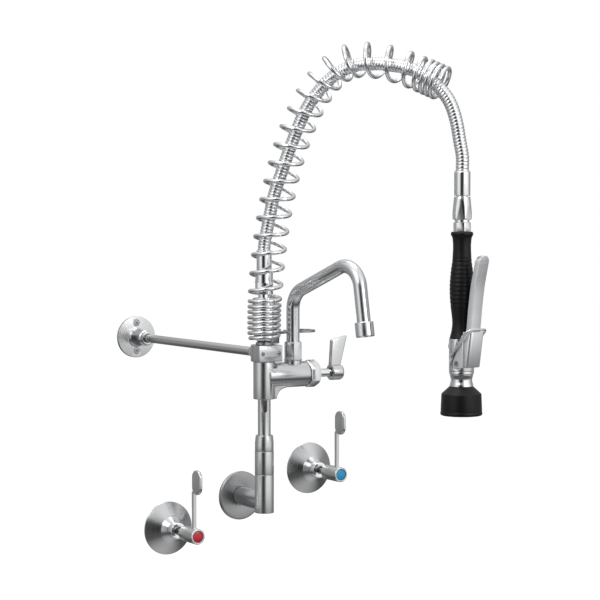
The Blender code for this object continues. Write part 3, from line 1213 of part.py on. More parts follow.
def handle(before, here, after, span):
    """A Bezier handle at a point of a route, along the line between its two neighbours."""
    size = hypot(after[0] - before[0], after[1] - before[1])
    return ((after[0] - before[0]) / size * span / 3, (after[1] - before[1]) / size * span / 3)


def ribbed(name, path, start, end, carrier, origin):
    """A stretch of the ribbed hose: a ridge and a groove each pitch, and its bore cut out."""
    count = round((end - start) / HOSE_RIB_PITCH)
    stride = (end - start) / (2 * count)
    centre = [path.at(start + stride * index) for index in range(2 * count + 1)]
    local = [(out - origin[0], 0, up - origin[1]) for out, up in centre]
    radii = [HOSE_RADIUS if index % 2 else HOSE_GROOVE_RADIUS for index in range(2 * count + 1)]
    hose = tube(name, local, radii, 2)
    bore_count = max(2, count // 4)
    spots = [start + (end - start) * index / bore_count for index in range(bore_count + 1)]
    line = [path.at(spot) for spot in spots]
    for index, spot, sign in ((0, start, -1), (-1, end, 1)):
        ahead = path.direction(spot)
        line[index] = (line[index][0] + sign * ahead[0] * THROUGH,
                       line[index][1] + sign * ahead[1] * THROUGH)
    bore = [(out - origin[0], 0, up - origin[1]) for out, up in line]
    cut(hose, tube(name + "_bore", bore, HOSE_BORE, 1))
    put(hose, CHROME, carrier, (0, 0, 0))
    return count


def make_boom(boom, swing):
    wire = spring_wire()
    gap = least_gap(wire, SPRING_POINTS_PER_TURN, WIRE_RADIUS)
    print(f"arch spring: {len(wire)} points, least gap to itself {gap * 1000:.2f} mm")
    spring = tube("arch_spring", wire, WIRE_RADIUS, 1)
    put(spring, CHROME, boom)

    path = Path(hose_points())
    split = max(distance for distance, point in zip(path.lengths, path.points) if point[1] > SWING_Z)
    arch_ribs = ribbed("hose_arch", path, 0.0, split - GAP / 2, boom, (0, 0))
    drop_ribs = ribbed("hose_drop", path, split + GAP / 2, path.length, swing, path.at(split))
    print(f"hose: {path.length * 1000:.0f} mm long, {arch_ribs + drop_ribs} ribs")


# ---------------------------------------------------------------------------- spray gun

def make_gun_fittings(swing, gun):
    hose_bore = HOSE_RADIUS + FIT
    hose_seat = GUN_TOP_Z - HOSE_IN_FERRULE - GAP
    rounding = GUN_FERRULE_ROUNDING
    tail_flange_top = GUN_TAIL_Z + GUN_TAIL_FLANGE_LENGTH
    ferrule = turned("gun_ferrule", [
        (GUN_FERRULE_RADIUS - rounding / 2, GUN_TOP_Z),
        (GUN_FERRULE_RADIUS, GUN_TOP_Z - rounding), (GUN_FERRULE_RADIUS, GUN_FERRULE_Z),
        (GUN_TAIL_RADIUS, GUN_FERRULE_Z), (GUN_TAIL_RADIUS, tail_flange_top),
        (GUN_TAIL_FLANGE_RADIUS, tail_flange_top), (GUN_TAIL_FLANGE_RADIUS, GUN_TAIL_Z),
        (TAIL_BORE, GUN_TAIL_Z), (TAIL_BORE, hose_seat), (hose_bore, hose_seat),
        (hose_bore, GUN_TOP_Z)], ROUND_LARGE)
    put(ferrule, CHROME, swing)

    thread_bore = INLET_SPIGOT_RADIUS + FIT
    tail_bore = GUN_TAIL_RADIUS + FIT
    shoulder = tail_flange_top + GAP
    corner = SWIVEL_NUT_CORNER_RADIUS
    cap_foot = SWIVEL_TOP_Z - SWIVEL_CAP_LENGTH
    nut = turned("swivel_nut", [
        (SWIVEL_NUT_TOP_RADIUS, SWIVEL_TOP_Z), (corner, cap_foot),
        (corner, SWIVEL_Z + SWIVEL_NUT_CHAMFER), (corner - SWIVEL_NUT_CHAMFER, SWIVEL_Z),
        (thread_bore, SWIVEL_Z), (thread_bore, shoulder), (tail_bore, shoulder),
        (tail_bore, SWIVEL_TOP_Z)], ROUND_LARGE)
    hexagon(nut, SWIVEL_NUT_ACROSS_FLATS, SWIVEL_Z - THROUGH, SWIVEL_TOP_Z + THROUGH)
    put(nut, CHROME, gun)

    washer = [(WASHER_RADIUS, WASHER_THICKNESS), (WASHER_RADIUS, 0), (WASHER_BORE, 0),
              (WASHER_BORE, WASHER_THICKNESS)]
    put(turned("swivel_washer", washer, ROUND), BLACK_RUBBER, gun, (0, 0, WASHER_Z))

    corner = INLET_NUT_CORNER_RADIUS
    chamfer = INLET_NUT_CHAMFER
    inlet = turned("gun_inlet_nut", [
        (INLET_SPIGOT_RADIUS, INLET_SPIGOT_Z), (INLET_SPIGOT_RADIUS, INLET_NUT_TOP_Z),
        (corner - chamfer, INLET_NUT_TOP_Z), (corner, INLET_NUT_TOP_Z - chamfer),
        (corner, INLET_NUT_Z), (GUN_WATERWAY, INLET_NUT_Z), (GUN_WATERWAY, INLET_SPIGOT_Z)])
    hexagon(inlet, INLET_NUT_ACROSS_FLATS, INLET_NUT_Z - THROUGH, INLET_NUT_TOP_Z)
    put(inlet, CHROME, gun)

    core_foot = GUN_BODY_TOP_Z - CORE_IN_BODY
    core = [(CORE_RADIUS, GRIP_TOP_Z), (CORE_RADIUS, core_foot), (GUN_WATERWAY, core_foot),
            (GUN_WATERWAY, GRIP_TOP_Z)]
    put(turned("gun_core", core, ROUND), BRASS, gun)

    grip = [(radius, GRIP_TOP_Z - drop) for radius, drop in GRIP_SHAPE]
    grip += [(CORE_RADIUS + FIT, GRIP_Z), (CORE_RADIUS + FIT, GRIP_TOP_Z)]
    put(turned("gun_grip", grip), BLACK_RUBBER, gun)


def make_gun_body(gun):
    """The body, its collar and nozzle; pieces across it are turned to face forward."""
    core_seat = GUN_BODY_TOP_Z - CORE_IN_BODY - GAP
    valve_level = (0, 0, VALVE_Z)
    body = turned("gun_body", [
        (0, core_seat), (CORE_RADIUS + FIT, core_seat), (CORE_RADIUS + FIT, GUN_BODY_TOP_Z),
        (GUN_BODY_RADIUS, GUN_BODY_TOP_Z), (GUN_BODY_RADIUS, GUN_BODY_Z), (0, GUN_BODY_Z)],
        ROUND_LARGE)
    cut(body, rod("upper_waterway", GUN_WATERWAY, VALVE_Z, core_seat + THROUGH))
    cut(body, rod("lower_waterway", COLLAR_WATERWAY / 2, GUN_BODY_Z - THROUGH, VALVE_Z))
    far = GUN_BODY_RADIUS + THROUGH
    bore = [(0, far), (STEM_RADIUS + FIT, far), (STEM_RADIUS + FIT, VALVE_FRONT_WALL),
            (VALVE_BORE, VALVE_FRONT_WALL), (VALVE_BORE, -CAP_SEAT), (CAP_HEAD_RADIUS + FIT, -CAP_SEAT),
            (CAP_HEAD_RADIUS + FIT, -far), (0, -far)]
    cut(body, turned("valve_bore", bore), valve_level, TO_ROOM)
    reach = EAR_RADIUS + EAR_CLEARANCE
    ear = arc((PIVOT_FORWARD, PIVOT_Z), reach, 0.75 * pi, 1.5 * pi, 4)
    above = GUN_BODY_TOP_Z + THROUGH
    recess = ear + [(2 * GUN_BODY_RADIUS, PIVOT_Z - reach), (2 * GUN_BODY_RADIUS, above),
                    (PIVOT_FORWARD + EAR_CLEARANCE, above)]
    depth = 2 * (far - EAR_INNER + FIT)
    for side in (-1, 1):
        cut(body, plate("ear_recess", recess, depth),
            (side * (EAR_INNER - FIT + depth / 2), 0, 0), SIDEWAYS)
    cut(body, rod("pivot_hole", PIVOT_RADIUS + FIT, -far, far),
        (0, -PIVOT_FORWARD, PIVOT_Z), TO_RIGHT)
    pin_foot = RING_HALF_WIDTH - RING_PIN_LENGTH - GAP
    for side in (-1, 1):
        low, high = sorted((side * pin_foot, side * (far + THROUGH)))
        cut(body, rod("ring_hole", RING_WIRE_RADIUS + FIT, low, high), (0, RING_BACK, RING_Z),
            TO_RIGHT)
    put(body, CHROME, gun)

    collar = [
        (COLLAR_RING_RADIUS, COLLAR_TOP_Z), (COLLAR_RING_RADIUS, COLLAR_TOP_Z - COLLAR_RING_LENGTH),
        (COLLAR_RADIUS, COLLAR_TOP_Z - COLLAR_RING_LENGTH)]
    waist = COLLAR_LENGTH - COLLAR_RING_LENGTH
    count = 4
    for index in range(1, count + 1):
        share = index / count
        radius = COLLAR_RADIUS - (COLLAR_RADIUS - COLLAR_WAIST_RADIUS) * sin(pi * share) ** 2
        collar.append((radius, COLLAR_TOP_Z - COLLAR_RING_LENGTH - share * waist))
    neck_bore = FACE_NECK_RADIUS + FIT
    neck_top = COLLAR_Z + FACE_NECK_IN_COLLAR + GAP
    collar += [(neck_bore, COLLAR_Z), (neck_bore, neck_top), (COLLAR_WATERWAY, neck_top),
               (COLLAR_WATERWAY, COLLAR_TOP_Z)]
    put(turned("gun_collar", collar, ROUND_LARGE), CHROME, gun)

    foot = BUMPER_FOOT_RADIUS
    rounding = BUMPER_ROUNDING
    roof = BUMPER_TOP_Z - BUMPER_ROOF
    bumper = [
        (BUMPER_TOP_RADIUS, BUMPER_TOP_Z), (BUMPER_SHOULDER_RADIUS, BUMPER_TOP_Z - BUMPER_SHOULDER_DROP),
        (foot, BUMPER_Z + rounding), (foot - rounding / 3, BUMPER_Z + rounding / 3),
        (foot - rounding, BUMPER_Z), (BUMPER_MOUTH_RADIUS, BUMPER_Z), (BUMPER_MOUTH_RADIUS, roof),
        (neck_bore, roof), (neck_bore, BUMPER_TOP_Z)]
    put(turned("spray_bumper", bumper, ROUND_LARGE), BLACK_RUBBER, gun)

    face_top = roof - GAP
    face_foot = face_top - FACE_THICKNESS
    neck = COLLAR_Z + FACE_NECK_IN_COLLAR
    inlet_foot = face_foot + FACE_DISH + FACE_THICKNESS / 3
    face = [(0, inlet_foot), (WATERWAY_RADIUS, inlet_foot), (WATERWAY_RADIUS, neck),
            (FACE_NECK_RADIUS, neck), (FACE_NECK_RADIUS, face_top), (FACE_RADIUS, face_top),
            (FACE_RADIUS, face_foot), (FACE_RADIUS * 0.8, face_foot),
            (FACE_RADIUS * 0.75, face_foot + FACE_DISH), (0, face_foot + FACE_DISH)]
    put(turned("spray_face", face, ROUND_LARGE), GREY_PLASTIC, gun)

    pin = 2 * (EAR_OUTER - GAP)
    bolt = screw("pivot_screw", PIVOT_HEAD_RADIUS, PIVOT_HEAD_LENGTH, PIVOT_RADIUS, pin, PIVOT_SOCKET)
    put(bolt, CHROME, gun, (-EAR_OUTER + GAP, -PIVOT_FORWARD, PIVOT_Z), (0, -pi / 2, 0))

    head_foot = CAP_SEAT + GAP
    head_top = head_foot + CAP_HEAD_LENGTH
    cap = [(0, head_top), (CAP_HEAD_RADIUS * 0.5, head_top - 0.0004),
           (CAP_HEAD_RADIUS * 0.85, head_top - 0.0014), (CAP_HEAD_RADIUS, head_foot + 0.0010),
           (CAP_HEAD_RADIUS, head_foot), (CAP_SPIGOT_RADIUS, head_foot),
           (CAP_SPIGOT_RADIUS, head_foot - CAP_SPIGOT_LENGTH), (0, head_foot - CAP_SPIGOT_LENGTH)]
    put(turned("valve_cap", cap, ROUND), CHROME, gun, valve_level, TO_WALL)

    front = -STEM_DISC_BACK - GAP - VALVE_SPRING_WIRE
    back = -(head_foot - CAP_SPIGOT_LENGTH) + GAP + VALVE_SPRING_WIRE
    count = round(VALVE_SPRING_TURNS * VALVE_SPRING_POINTS)
    coil = []
    for index in range(count + 1):
        angle = 2 * pi * index / VALVE_SPRING_POINTS
        coil.append((VALVE_SPRING_RADIUS * cos(angle), VALVE_SPRING_RADIUS * sin(angle),
                     back + (front - back) * index / count))
    gap = least_gap(coil, VALVE_SPRING_POINTS, VALVE_SPRING_WIRE)
    print(f"valve spring: least gap to itself {gap * 1000:.2f} mm")
    put(tube("valve_spring", coil, VALVE_SPRING_WIRE, 0), CHROME, gun, valve_level, TO_ROOM)


def hood_front(height):
    """How far forward the hood's front face lies at a height above the pivot."""
    return HOOD_FOOT_FRONT + (height + HOOD_FOOT_DROP) * hood_slope()


def hood_slope():
    return (HOOD_TOP_FRONT - HOOD_FOOT_FRONT) / (HOOD_TOP_RISE + HOOD_FOOT_DROP)


def leaning_box(name, back, front, half_width, rounding, low, high):
    """An upright box, round at its two front edges, whose front leans out with the hood's."""
    outline = [(back, half_width), (back, -half_width)]
    outline += arc((front - rounding, rounding - half_width), rounding, -pi / 2, 0, 3)
    outline += arc((front - rounding, half_width - rounding), rounding, 0, pi / 2, 3)
    box = plate(name, outline, high - low)
    for vertex in box.data.vertices:
        vertex.co.z += (low + high) / 2
        if vertex.co.x > back:
            vertex.co.x += (vertex.co.z + HOOD_FOOT_DROP) * hood_slope()
    return box


def make_lever(lever, stem, ring):
    """The lever is drawn round its pivot: its own +X is forward, and outlines give (forward, up)."""
    foot = -HOOD_FOOT_DROP
    top = HOOD_TOP_RISE
    hood = leaning_box("gun_lever", HOOD_BACK, HOOD_FOOT_FRONT, HOOD_HALF_WIDTH, HOOD_ROUNDING,
                       foot, top)
    roof = top - HOOD_WALL
    cavity = leaning_box("hood_cavity", -HOOD_BACK, HOOD_FOOT_FRONT - HOOD_WALL,
                         HOOD_HALF_WIDTH - HOOD_WALL, HOOD_ROUNDING - HOOD_WALL,
                         foot - THROUGH, roof)

    half = BLADE_DEPTH / 2
    crown = BLADE_CENTRES[-1][1]
    side = [(out + half, rise) for out, rise in BLADE_CENTRES]
    side += [(out - half, rise) for out, rise in reversed(BLADE_CENTRES)]
    blade = plate("lever_blade", side, BLADE_WIDTH)
    wide = BLADE_WIDTH / 2
    low = BLADE_CENTRES[0][1] - THROUGH
    front = [(-wide - THROUGH, low), (wide + THROUGH, low), (wide + THROUGH, crown - wide)]
    front += arc((0, crown - wide), wide, 0, pi, 6) + [(-wide - THROUGH, crown - wide)]
    keep(blade, plate("blade_outline", front, 4 * HOOD_TOP_FRONT), facing=(0, pi / 2, 0))
    join(hood, blade, facing=UPRIGHT)
    cut(hood, cavity)

    web = BLADE_CENTRES[1:-1]
    last = BLADE_CENTRES[-1]
    channel = [(out + half - BLADE_WEB, rise) for out, rise in web]
    channel += [(last[0] + half - BLADE_WEB, crown - BLADE_WEB),
                (last[0] - half - THROUGH, crown - BLADE_WEB)]
    channel += [(out - half - THROUGH, rise) for out, rise in reversed(web)]
    cut(hood, plate("blade_channel", channel, BLADE_WIDTH - 2 * BLADE_WEB), facing=UPRIGHT)

    ear = arc((0, 0), EAR_RADIUS, 0.80 * pi, 1.62 * pi, 5)
    ear += [(HOOD_BACK + HOOD_WALL - PIVOT_FORWARD, foot), (HOOD_BACK + HOOD_WALL - PIVOT_FORWARD,
            top - 2 * HOOD_WALL), (HOOD_BACK - PIVOT_FORWARD, top - 2 * HOOD_WALL)]
    middle = (EAR_OUTER + EAR_INNER) / 2
    for side in (-1, 1):
        join(hood, plate("ear", ear, EAR_OUTER - EAR_INNER), (PIVOT_FORWARD, side * middle, 0),
             UPRIGHT)
    pivot = (PIVOT_FORWARD, 0, 0)
    cut(hood, rod("lever_pivot_hole", PIVOT_RADIUS + FIT, -2 * EAR_OUTER, 2 * EAR_OUTER), pivot,
        TO_ROOM)
    head_seat = EAR_OUTER - PIVOT_HEAD_LENGTH - 2 * GAP
    cut(hood, rod("pivot_head_seat", PIVOT_HEAD_RADIUS + FIT, head_seat, 2 * EAR_OUTER), pivot,
        TO_ROOM)
    # The grip's foot stands in the hood and the blade's root when the lever is pressed
    pressed = [(radius + GRIP_CLEARANCE, GRIP_TOP_Z - drop - PIVOT_Z)
               for radius, drop in GRIP_SHAPE[-4:]]
    relief_foot = pressed[-1][1] - 2 * GRIP_CLEARANCE
    relief = turned("grip_relief", [(0, pressed[0][1])] + pressed
                    + [(pressed[-1][0], relief_foot), (0, relief_foot)], ROUND_LARGE)
    cut(hood, relief, (PIVOT_FORWARD * (1 - cos(LEVER_THROW)), 0, PIVOT_FORWARD * sin(LEVER_THROW)),
        (0, LEVER_THROW, 0))
    put(hood, CHROME, lever, (0, PIVOT_FORWARD, 0), FORWARD)

    contact = hood_front(VALVE_Z - PIVOT_Z) - HOOD_WALL - GAP
    disc_back = -STEM_DISC_BACK
    disc_front = disc_back + STEM_DISC_THICKNESS
    pusher = turned("valve_stem", [
        (0, contact), (STEM_RADIUS * 0.8, contact - 0.0004), (STEM_RADIUS, contact - THROUGH),
        (STEM_RADIUS, disc_front), (STEM_DISC_RADIUS, disc_front), (STEM_DISC_RADIUS, disc_back),
        (STEM_GUIDE_RADIUS, disc_back), (STEM_GUIDE_RADIUS, disc_back - STEM_GUIDE_LENGTH),
        (0, disc_back - STEM_GUIDE_LENGTH)], ROUND_SMALL)
    put(pusher, CHROME, stem, facing=TO_ROOM)

    half = RING_HALF_WIDTH
    pin = half - RING_PIN_LENGTH
    leg = RING_REACH - RING_CORNER
    bow = [(-pin, 0), (-half, 0)]
    bow += arc((-half + RING_CORNER, leg), RING_CORNER, pi, pi / 2, 3)
    bow += arc((half - RING_CORNER, leg), RING_CORNER, pi / 2, 0, 3)
    bow += [(half, 0), (pin, 0)]
    path = [(x, -reach * cos(RING_SLOPE), reach * sin(RING_SLOPE)) for x, reach in bow]
    put(tube("hold_ring", path, RING_WIRE_RADIUS, 1), CHROME, ring)


# ---------------------------------------------------------------------------- wall taps

def make_tap(name, index, base, turn):
    """One wall tap; heights are distances out from the wall."""
    wall = BELL_WALL
    bell = turned(name + "_escutcheon", [
        (BELL_TOP_RADIUS, BELL_TOP_OUT), (BELL_BREAK_RADIUS, BELL_BREAK_OUT),
        (BELL_RADIUS, BELL_RIM), (BELL_RADIUS, 0), (BELL_RADIUS - wall, 0),
        (BELL_BREAK_RADIUS - wall / 2, BELL_BREAK_OUT - wall),
        (TAP_BODY_RADIUS + FIT, BELL_TOP_OUT - wall), (TAP_BODY_RADIUS + FIT, BELL_TOP_OUT)],
        ROUND_LARGE)
    put(bell, SATIN_STEEL, base, facing=TO_ROOM)

    collar_foot = BELL_TOP_OUT + GAP
    collar_top = collar_foot + TAP_COLLAR_LENGTH
    body_top = collar_top - 2 * GAP - TAP_COLLAR_LENGTH / 3
    spindle_bore = TAP_SPINDLE_RADIUS + FIT
    spindle_foot = body_top - TAP_SPINDLE_IN_BODY
    body = [(TAP_BODY_RADIUS, body_top), (TAP_BODY_RADIUS, TAP_BODY_FLANGE_LENGTH),
            (TAP_BODY_FLANGE_RADIUS, TAP_BODY_FLANGE_LENGTH), (TAP_BODY_FLANGE_RADIUS, GAP),
            (0, GAP)]
    body = [(0, spindle_foot - GAP), (spindle_bore, spindle_foot - GAP), (spindle_bore, body_top)] + body
    put(turned(name + "_tap_body", body, ROUND), BRASS, base, facing=TO_ROOM)

    collar = [(TAP_COLLAR_RADIUS - GAP, collar_top), (TAP_COLLAR_RADIUS, collar_top - 2 * GAP),
              (TAP_COLLAR_RADIUS, collar_foot), (TAP_BODY_RADIUS + FIT, collar_foot),
              (TAP_BODY_RADIUS + FIT, body_top + GAP), (TAP_COLLAR_HOLE, body_top + GAP),
              (TAP_COLLAR_HOLE, collar_top)]
    put(turned(name + "_tap_collar", collar, ROUND), CHROME, base, facing=TO_ROOM)

    hub_foot = collar_top + TAP_SPINDLE_SHOWS
    spindle_top = hub_foot + TAP_SPINDLE_IN_HUB
    spindle = rod(name + "_tap_spindle", TAP_SPINDLE_RADIUS, spindle_foot, spindle_top)
    put(spindle, SATIN_STEEL, turn, facing=TO_ROOM)

    hub_top = hub_foot + TAP_HUB_LENGTH
    chamfer = TAP_HUB_CHAMFER
    button_bore = BUTTON_RADIUS + FIT
    lever = turned(name + "_tap_lever", [
        (0, hub_top - BUTTON_DEPTH), (button_bore, hub_top - BUTTON_DEPTH), (button_bore, hub_top),
        (TAP_HUB_RADIUS - chamfer / 2, hub_top), (TAP_HUB_RADIUS, hub_top - chamfer),
        (TAP_HUB_RADIUS, hub_foot), (0, hub_foot)])
    bar_back = hub_foot + BAR_OUT - BAR_WIDTH
    half = BAR_WIDTH / 2
    join(lever, block("bar", (-half, TAP_HUB_RADIUS / 2, bar_back),
                      (half, BAR_RISE, bar_back + BAR_WIDTH)))
    middle = PADDLE_FOOT + PADDLE_HEIGHT / 2
    across = PADDLE_DEPTH / 2
    straight = PADDLE_HEIGHT / 2 - across * 0.9
    paddle = [(bar_back + across + across * cos(angle),
               middle + straight * (1 if sin(angle) > 0 else -1) + 0.9 * across * sin(angle))
              for angle in [pi * (step + 0.5) / 6 for step in range(12)]]
    join(lever, plate("paddle", paddle, BAR_WIDTH * 0.96), facing=(0, -pi / 2, 0))
    cut(lever, rod(name + "_hub_bore", spindle_bore, hub_foot - THROUGH, spindle_top + GAP))
    put(lever, SATIN_STEEL, turn, facing=TO_ROOM)

    button_foot = hub_top - BUTTON_DEPTH + GAP
    button = [(0, hub_top + BUTTON_DOME), (BUTTON_RADIUS * 0.6, hub_top + BUTTON_DOME * 0.6),
              (BUTTON_RADIUS, hub_top - BUTTON_DOME), (BUTTON_RADIUS, button_foot), (0, button_foot)]
    put(turned(name + "_index_button", button, ROUND), index, turn, facing=TO_ROOM)


def main():
    column = frame("column", (0, -COLUMN_OUT, 0))
    make_riser(column)
    make_body(column)
    make_bracket(column)
    make_hook(column)

    arm = frame("arm_axis", (0, 0, ARM_Z), parent=column)
    handle_turn = frame("handle_turn", (0, 0, ARM_Z), parent=column)
    make_valve({"carrier": arm, "turn": handle_turn})

    seat = frame("spout_seat_axis", (SPOUT_OUT, 0, 0), parent=column)
    spout_turn = frame("spout_turn", (SPOUT_OUT, 0, 0), SPOUT_TURN, column)
    make_spout(seat, spout_turn)

    boom = frame("boom_turn", (0, 0, 0), ARCH_TURN, column)
    make_plug(boom)
    path = Path(hose_points())
    split = max(distance for distance, point in zip(path.lengths, path.points) if point[1] > SWING_Z)
    swing_out, swing_up = path.at(split)
    swing = frame("gun_swing", (swing_out, 0, swing_up), parent=boom)
    make_boom(boom, swing)

    fittings = frame("gun_axis", (GUN_OUT - swing_out, 0, -swing_up), parent=swing)
    gun = frame("gun_turn", (GUN_OUT - swing_out, 0, -swing_up), GUN_TURN - ARCH_TURN, swing)
    make_gun_fittings(fittings, gun)
    make_gun_body(gun)
    lever = frame("lever_pivot", (0, -PIVOT_FORWARD, PIVOT_Z), parent=gun)
    stem = frame("stem_slide", (0, 0, VALVE_Z), parent=gun)
    ring = frame("ring_hinge", (0, RING_BACK, RING_Z), parent=gun)
    make_lever(lever, stem, ring)

    for name, index in (("hot", RED_INDEX), ("cold", BLUE_INDEX)):
        across, up = TAP_PLACES[name]
        base = frame(name + "_tap_place", (across, 0, up))
        turn = frame(name + "_tap_turn", (across, 0, up))
        make_tap(name, index, base, turn)


main()
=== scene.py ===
"""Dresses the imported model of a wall-mounted pre rinse faucet: finer pieces, metals, rubber, enamel."""

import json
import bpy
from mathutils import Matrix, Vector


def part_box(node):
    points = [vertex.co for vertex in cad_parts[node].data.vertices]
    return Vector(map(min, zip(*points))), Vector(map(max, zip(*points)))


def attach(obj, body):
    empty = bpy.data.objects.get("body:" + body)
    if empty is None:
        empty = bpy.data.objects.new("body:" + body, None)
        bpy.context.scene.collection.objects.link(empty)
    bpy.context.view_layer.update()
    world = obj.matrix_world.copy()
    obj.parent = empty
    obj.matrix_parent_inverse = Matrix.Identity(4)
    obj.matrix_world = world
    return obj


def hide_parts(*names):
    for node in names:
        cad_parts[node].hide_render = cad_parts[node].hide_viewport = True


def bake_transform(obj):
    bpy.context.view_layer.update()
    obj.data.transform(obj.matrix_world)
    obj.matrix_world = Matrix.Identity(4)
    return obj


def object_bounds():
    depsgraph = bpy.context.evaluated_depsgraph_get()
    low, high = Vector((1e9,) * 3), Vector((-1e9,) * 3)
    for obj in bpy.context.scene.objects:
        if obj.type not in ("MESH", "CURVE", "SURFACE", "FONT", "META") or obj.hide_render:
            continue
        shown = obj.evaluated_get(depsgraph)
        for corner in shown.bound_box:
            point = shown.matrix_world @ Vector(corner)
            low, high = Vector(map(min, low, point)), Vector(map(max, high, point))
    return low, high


bl_info = {
    "name": "Pre Rinse Faucet",
    "version": (1, 0, 0),
    "blender": (4, 5, 0),
    "location": "View3D > Sidebar > Faucet",
    "description": "Models and finishes a wall-mounted pre rinse faucet with its spray gun and taps",
    "category": "Object",
}

from math import acos, asin, atan2, cos, hypot, pi, radians, sin, sqrt, tan

import bpy
from bpy.props import FloatProperty, FloatVectorProperty, IntProperty, PointerProperty
from mathutils import Euler, Matrix, Vector

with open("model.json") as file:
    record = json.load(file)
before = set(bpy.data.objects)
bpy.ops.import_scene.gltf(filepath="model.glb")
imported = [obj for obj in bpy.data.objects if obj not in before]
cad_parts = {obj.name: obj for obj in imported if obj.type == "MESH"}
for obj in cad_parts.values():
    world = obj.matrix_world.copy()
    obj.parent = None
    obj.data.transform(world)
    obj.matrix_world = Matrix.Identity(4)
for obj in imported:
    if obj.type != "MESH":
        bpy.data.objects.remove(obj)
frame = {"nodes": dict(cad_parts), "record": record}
CAD_BOUNDS = [list(corner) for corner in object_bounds()]

MM = 0.001
ROUND = 72  # steps round a turned piece
FINE = 96
UP, RIGHT, ROOM, WALL = Vector((0, 0, 1)), Vector((1, 0, 0)), Vector((0, -1, 0)), Vector((0, 1, 0))

# Places that several pieces share, read from the frame
PLATE_LOW, PLATE_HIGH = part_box("inlet_plate")
SLEEVE_LOW, SLEEVE_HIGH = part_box("riser_sleeve")
COLUMN = Vector(((SLEEVE_LOW.x + SLEEVE_HIGH.x) / 2, (SLEEVE_LOW.y + SLEEVE_HIGH.y) / 2, 0))
GRIP_LOW, GRIP_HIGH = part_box("gun_grip")
GUN_AXIS = Vector(((GRIP_LOW.x + GRIP_HIGH.x) / 2, (GRIP_LOW.y + GRIP_HIGH.y) / 2, 0))
ARCH_TURN = atan2(GUN_AXIS.y - COLUMN.y, GUN_AXIS.x - COLUMN.x)
GUN_TURN = radians(10.95)
FORWARD = Vector((sin(GUN_TURN), -cos(GUN_TURN), 0))


def joint(name):
    return next(entry for entry in frame["record"]["behaviour"]["joints"] if entry["name"] == name)


# ------------------------------------------------------------------ colour and node helpers

def linear(hex_colour):
    """An sRGB hex colour as the linear values that Blender's sockets hold."""
    channels = [int(hex_colour[index:index + 2], 16) / 255 for index in (1, 3, 5)]
    return tuple(c / 12.92 if c <= 0.04045 else ((c + 0.055) / 1.055) ** 2.4 for c in channels)


def add_node(tree, kind, settings=None, links=None):
    """Adds a node; settings are attributes or socket values, links are socket to output."""
    node = tree.nodes.new(kind)
    for key, value in (settings or {}).items():
        if isinstance(key, str) and hasattr(node, key):
            setattr(node, key, value)
        else:
            node.inputs[key].default_value = value
    for key, output in (links or {}).items():
        tree.links.new(output, node.inputs[key])
    return node


def new_material(name, colour, metallic, roughness):
    material = bpy.data.materials.new(name)
    material.use_nodes = True
    shader = material.node_tree.nodes["Principled BSDF"]
    shader.inputs["Base Color"].default_value = (*colour, 1)
    shader.inputs["Metallic"].default_value = metallic
    shader.inputs["Roughness"].default_value = roughness
    material.diffuse_color = (*colour, 1)
    return material, material.node_tree, shader


def spread(tree, noise, low, high):
    """Maps a noise's middle range to low and high."""
    return add_node(tree, "ShaderNodeMapRange", {"From Min": 0.3, "From Max": 0.7, "To Min": low, "To Max": high},
                    {"Value": noise.outputs["Fac"]}).outputs["Result"]


def bump(tree, shader, height, strength, distance):
    node = add_node(tree, "ShaderNodeBump", {"Strength": strength, "Distance": distance},
                    {"Height": height})
    tree.links.new(node.outputs["Normal"], shader.inputs["Normal"])


def brushed_steel(name, colour, roughness, along):
    """Stainless steel brushed round its axis: fine lines that stack along that axis.

    The lines are 0.5 mm apart, coarser than real abrasive lines, so that they show.
    """
    material, tree, shader = new_material(name, colour, 1, roughness)
    place = add_node(tree, "ShaderNodeTexCoord")
    stretch = [40.0, 40.0, 40.0]
    stretch["XYZ".index(along)] = 2000.0
    lines = add_node(tree, "ShaderNodeMapping", {"Scale": stretch}, {"Vector": place.outputs["Object"]})
    brush = add_node(tree, "ShaderNodeTexNoise", {"Scale": 1.0, "Detail": 2.0},
                     {"Vector": lines.outputs["Vector"]})
    cloud = add_node(tree, "ShaderNodeTexNoise", {"Scale": 90.0, "Detail": 3.0},
                     {"Vector": place.outputs["Object"]})
    tree.links.new(spread(tree, brush, roughness - 0.04, roughness + 0.04), shader.inputs["Roughness"])
    tint = add_node(tree, "ShaderNodeMix", {"data_type": "RGBA", 6: (*[c * 0.96 for c in colour], 1),
                                            7: (*[min(1, c * 1.02) for c in colour], 1)},
                    {0: cloud.outputs["Fac"]})
    tree.links.new(tint.outputs[2], shader.inputs["Base Color"])
    bump(tree, shader, brush.outputs["Fac"], 0.12, 0.00003)
    return material


def polished_chrome(name, colour, roughness):
    """Chrome plate: a mirror with the faint clouding of water marks, patches about 12 mm across."""
    material, tree, shader = new_material(name, colour, 1, roughness)
    place = add_node(tree, "ShaderNodeTexCoord")
    cloud = add_node(tree, "ShaderNodeTexNoise", {"Scale": 80.0, "Detail": 4.0},
                     {"Vector": place.outputs["Object"]})
    tree.links.new(spread(tree, cloud, roughness * 0.7, roughness * 1.5), shader.inputs["Roughness"])
    bump(tree, shader, cloud.outputs["Fac"], 0.01, 0.0001)
    return material


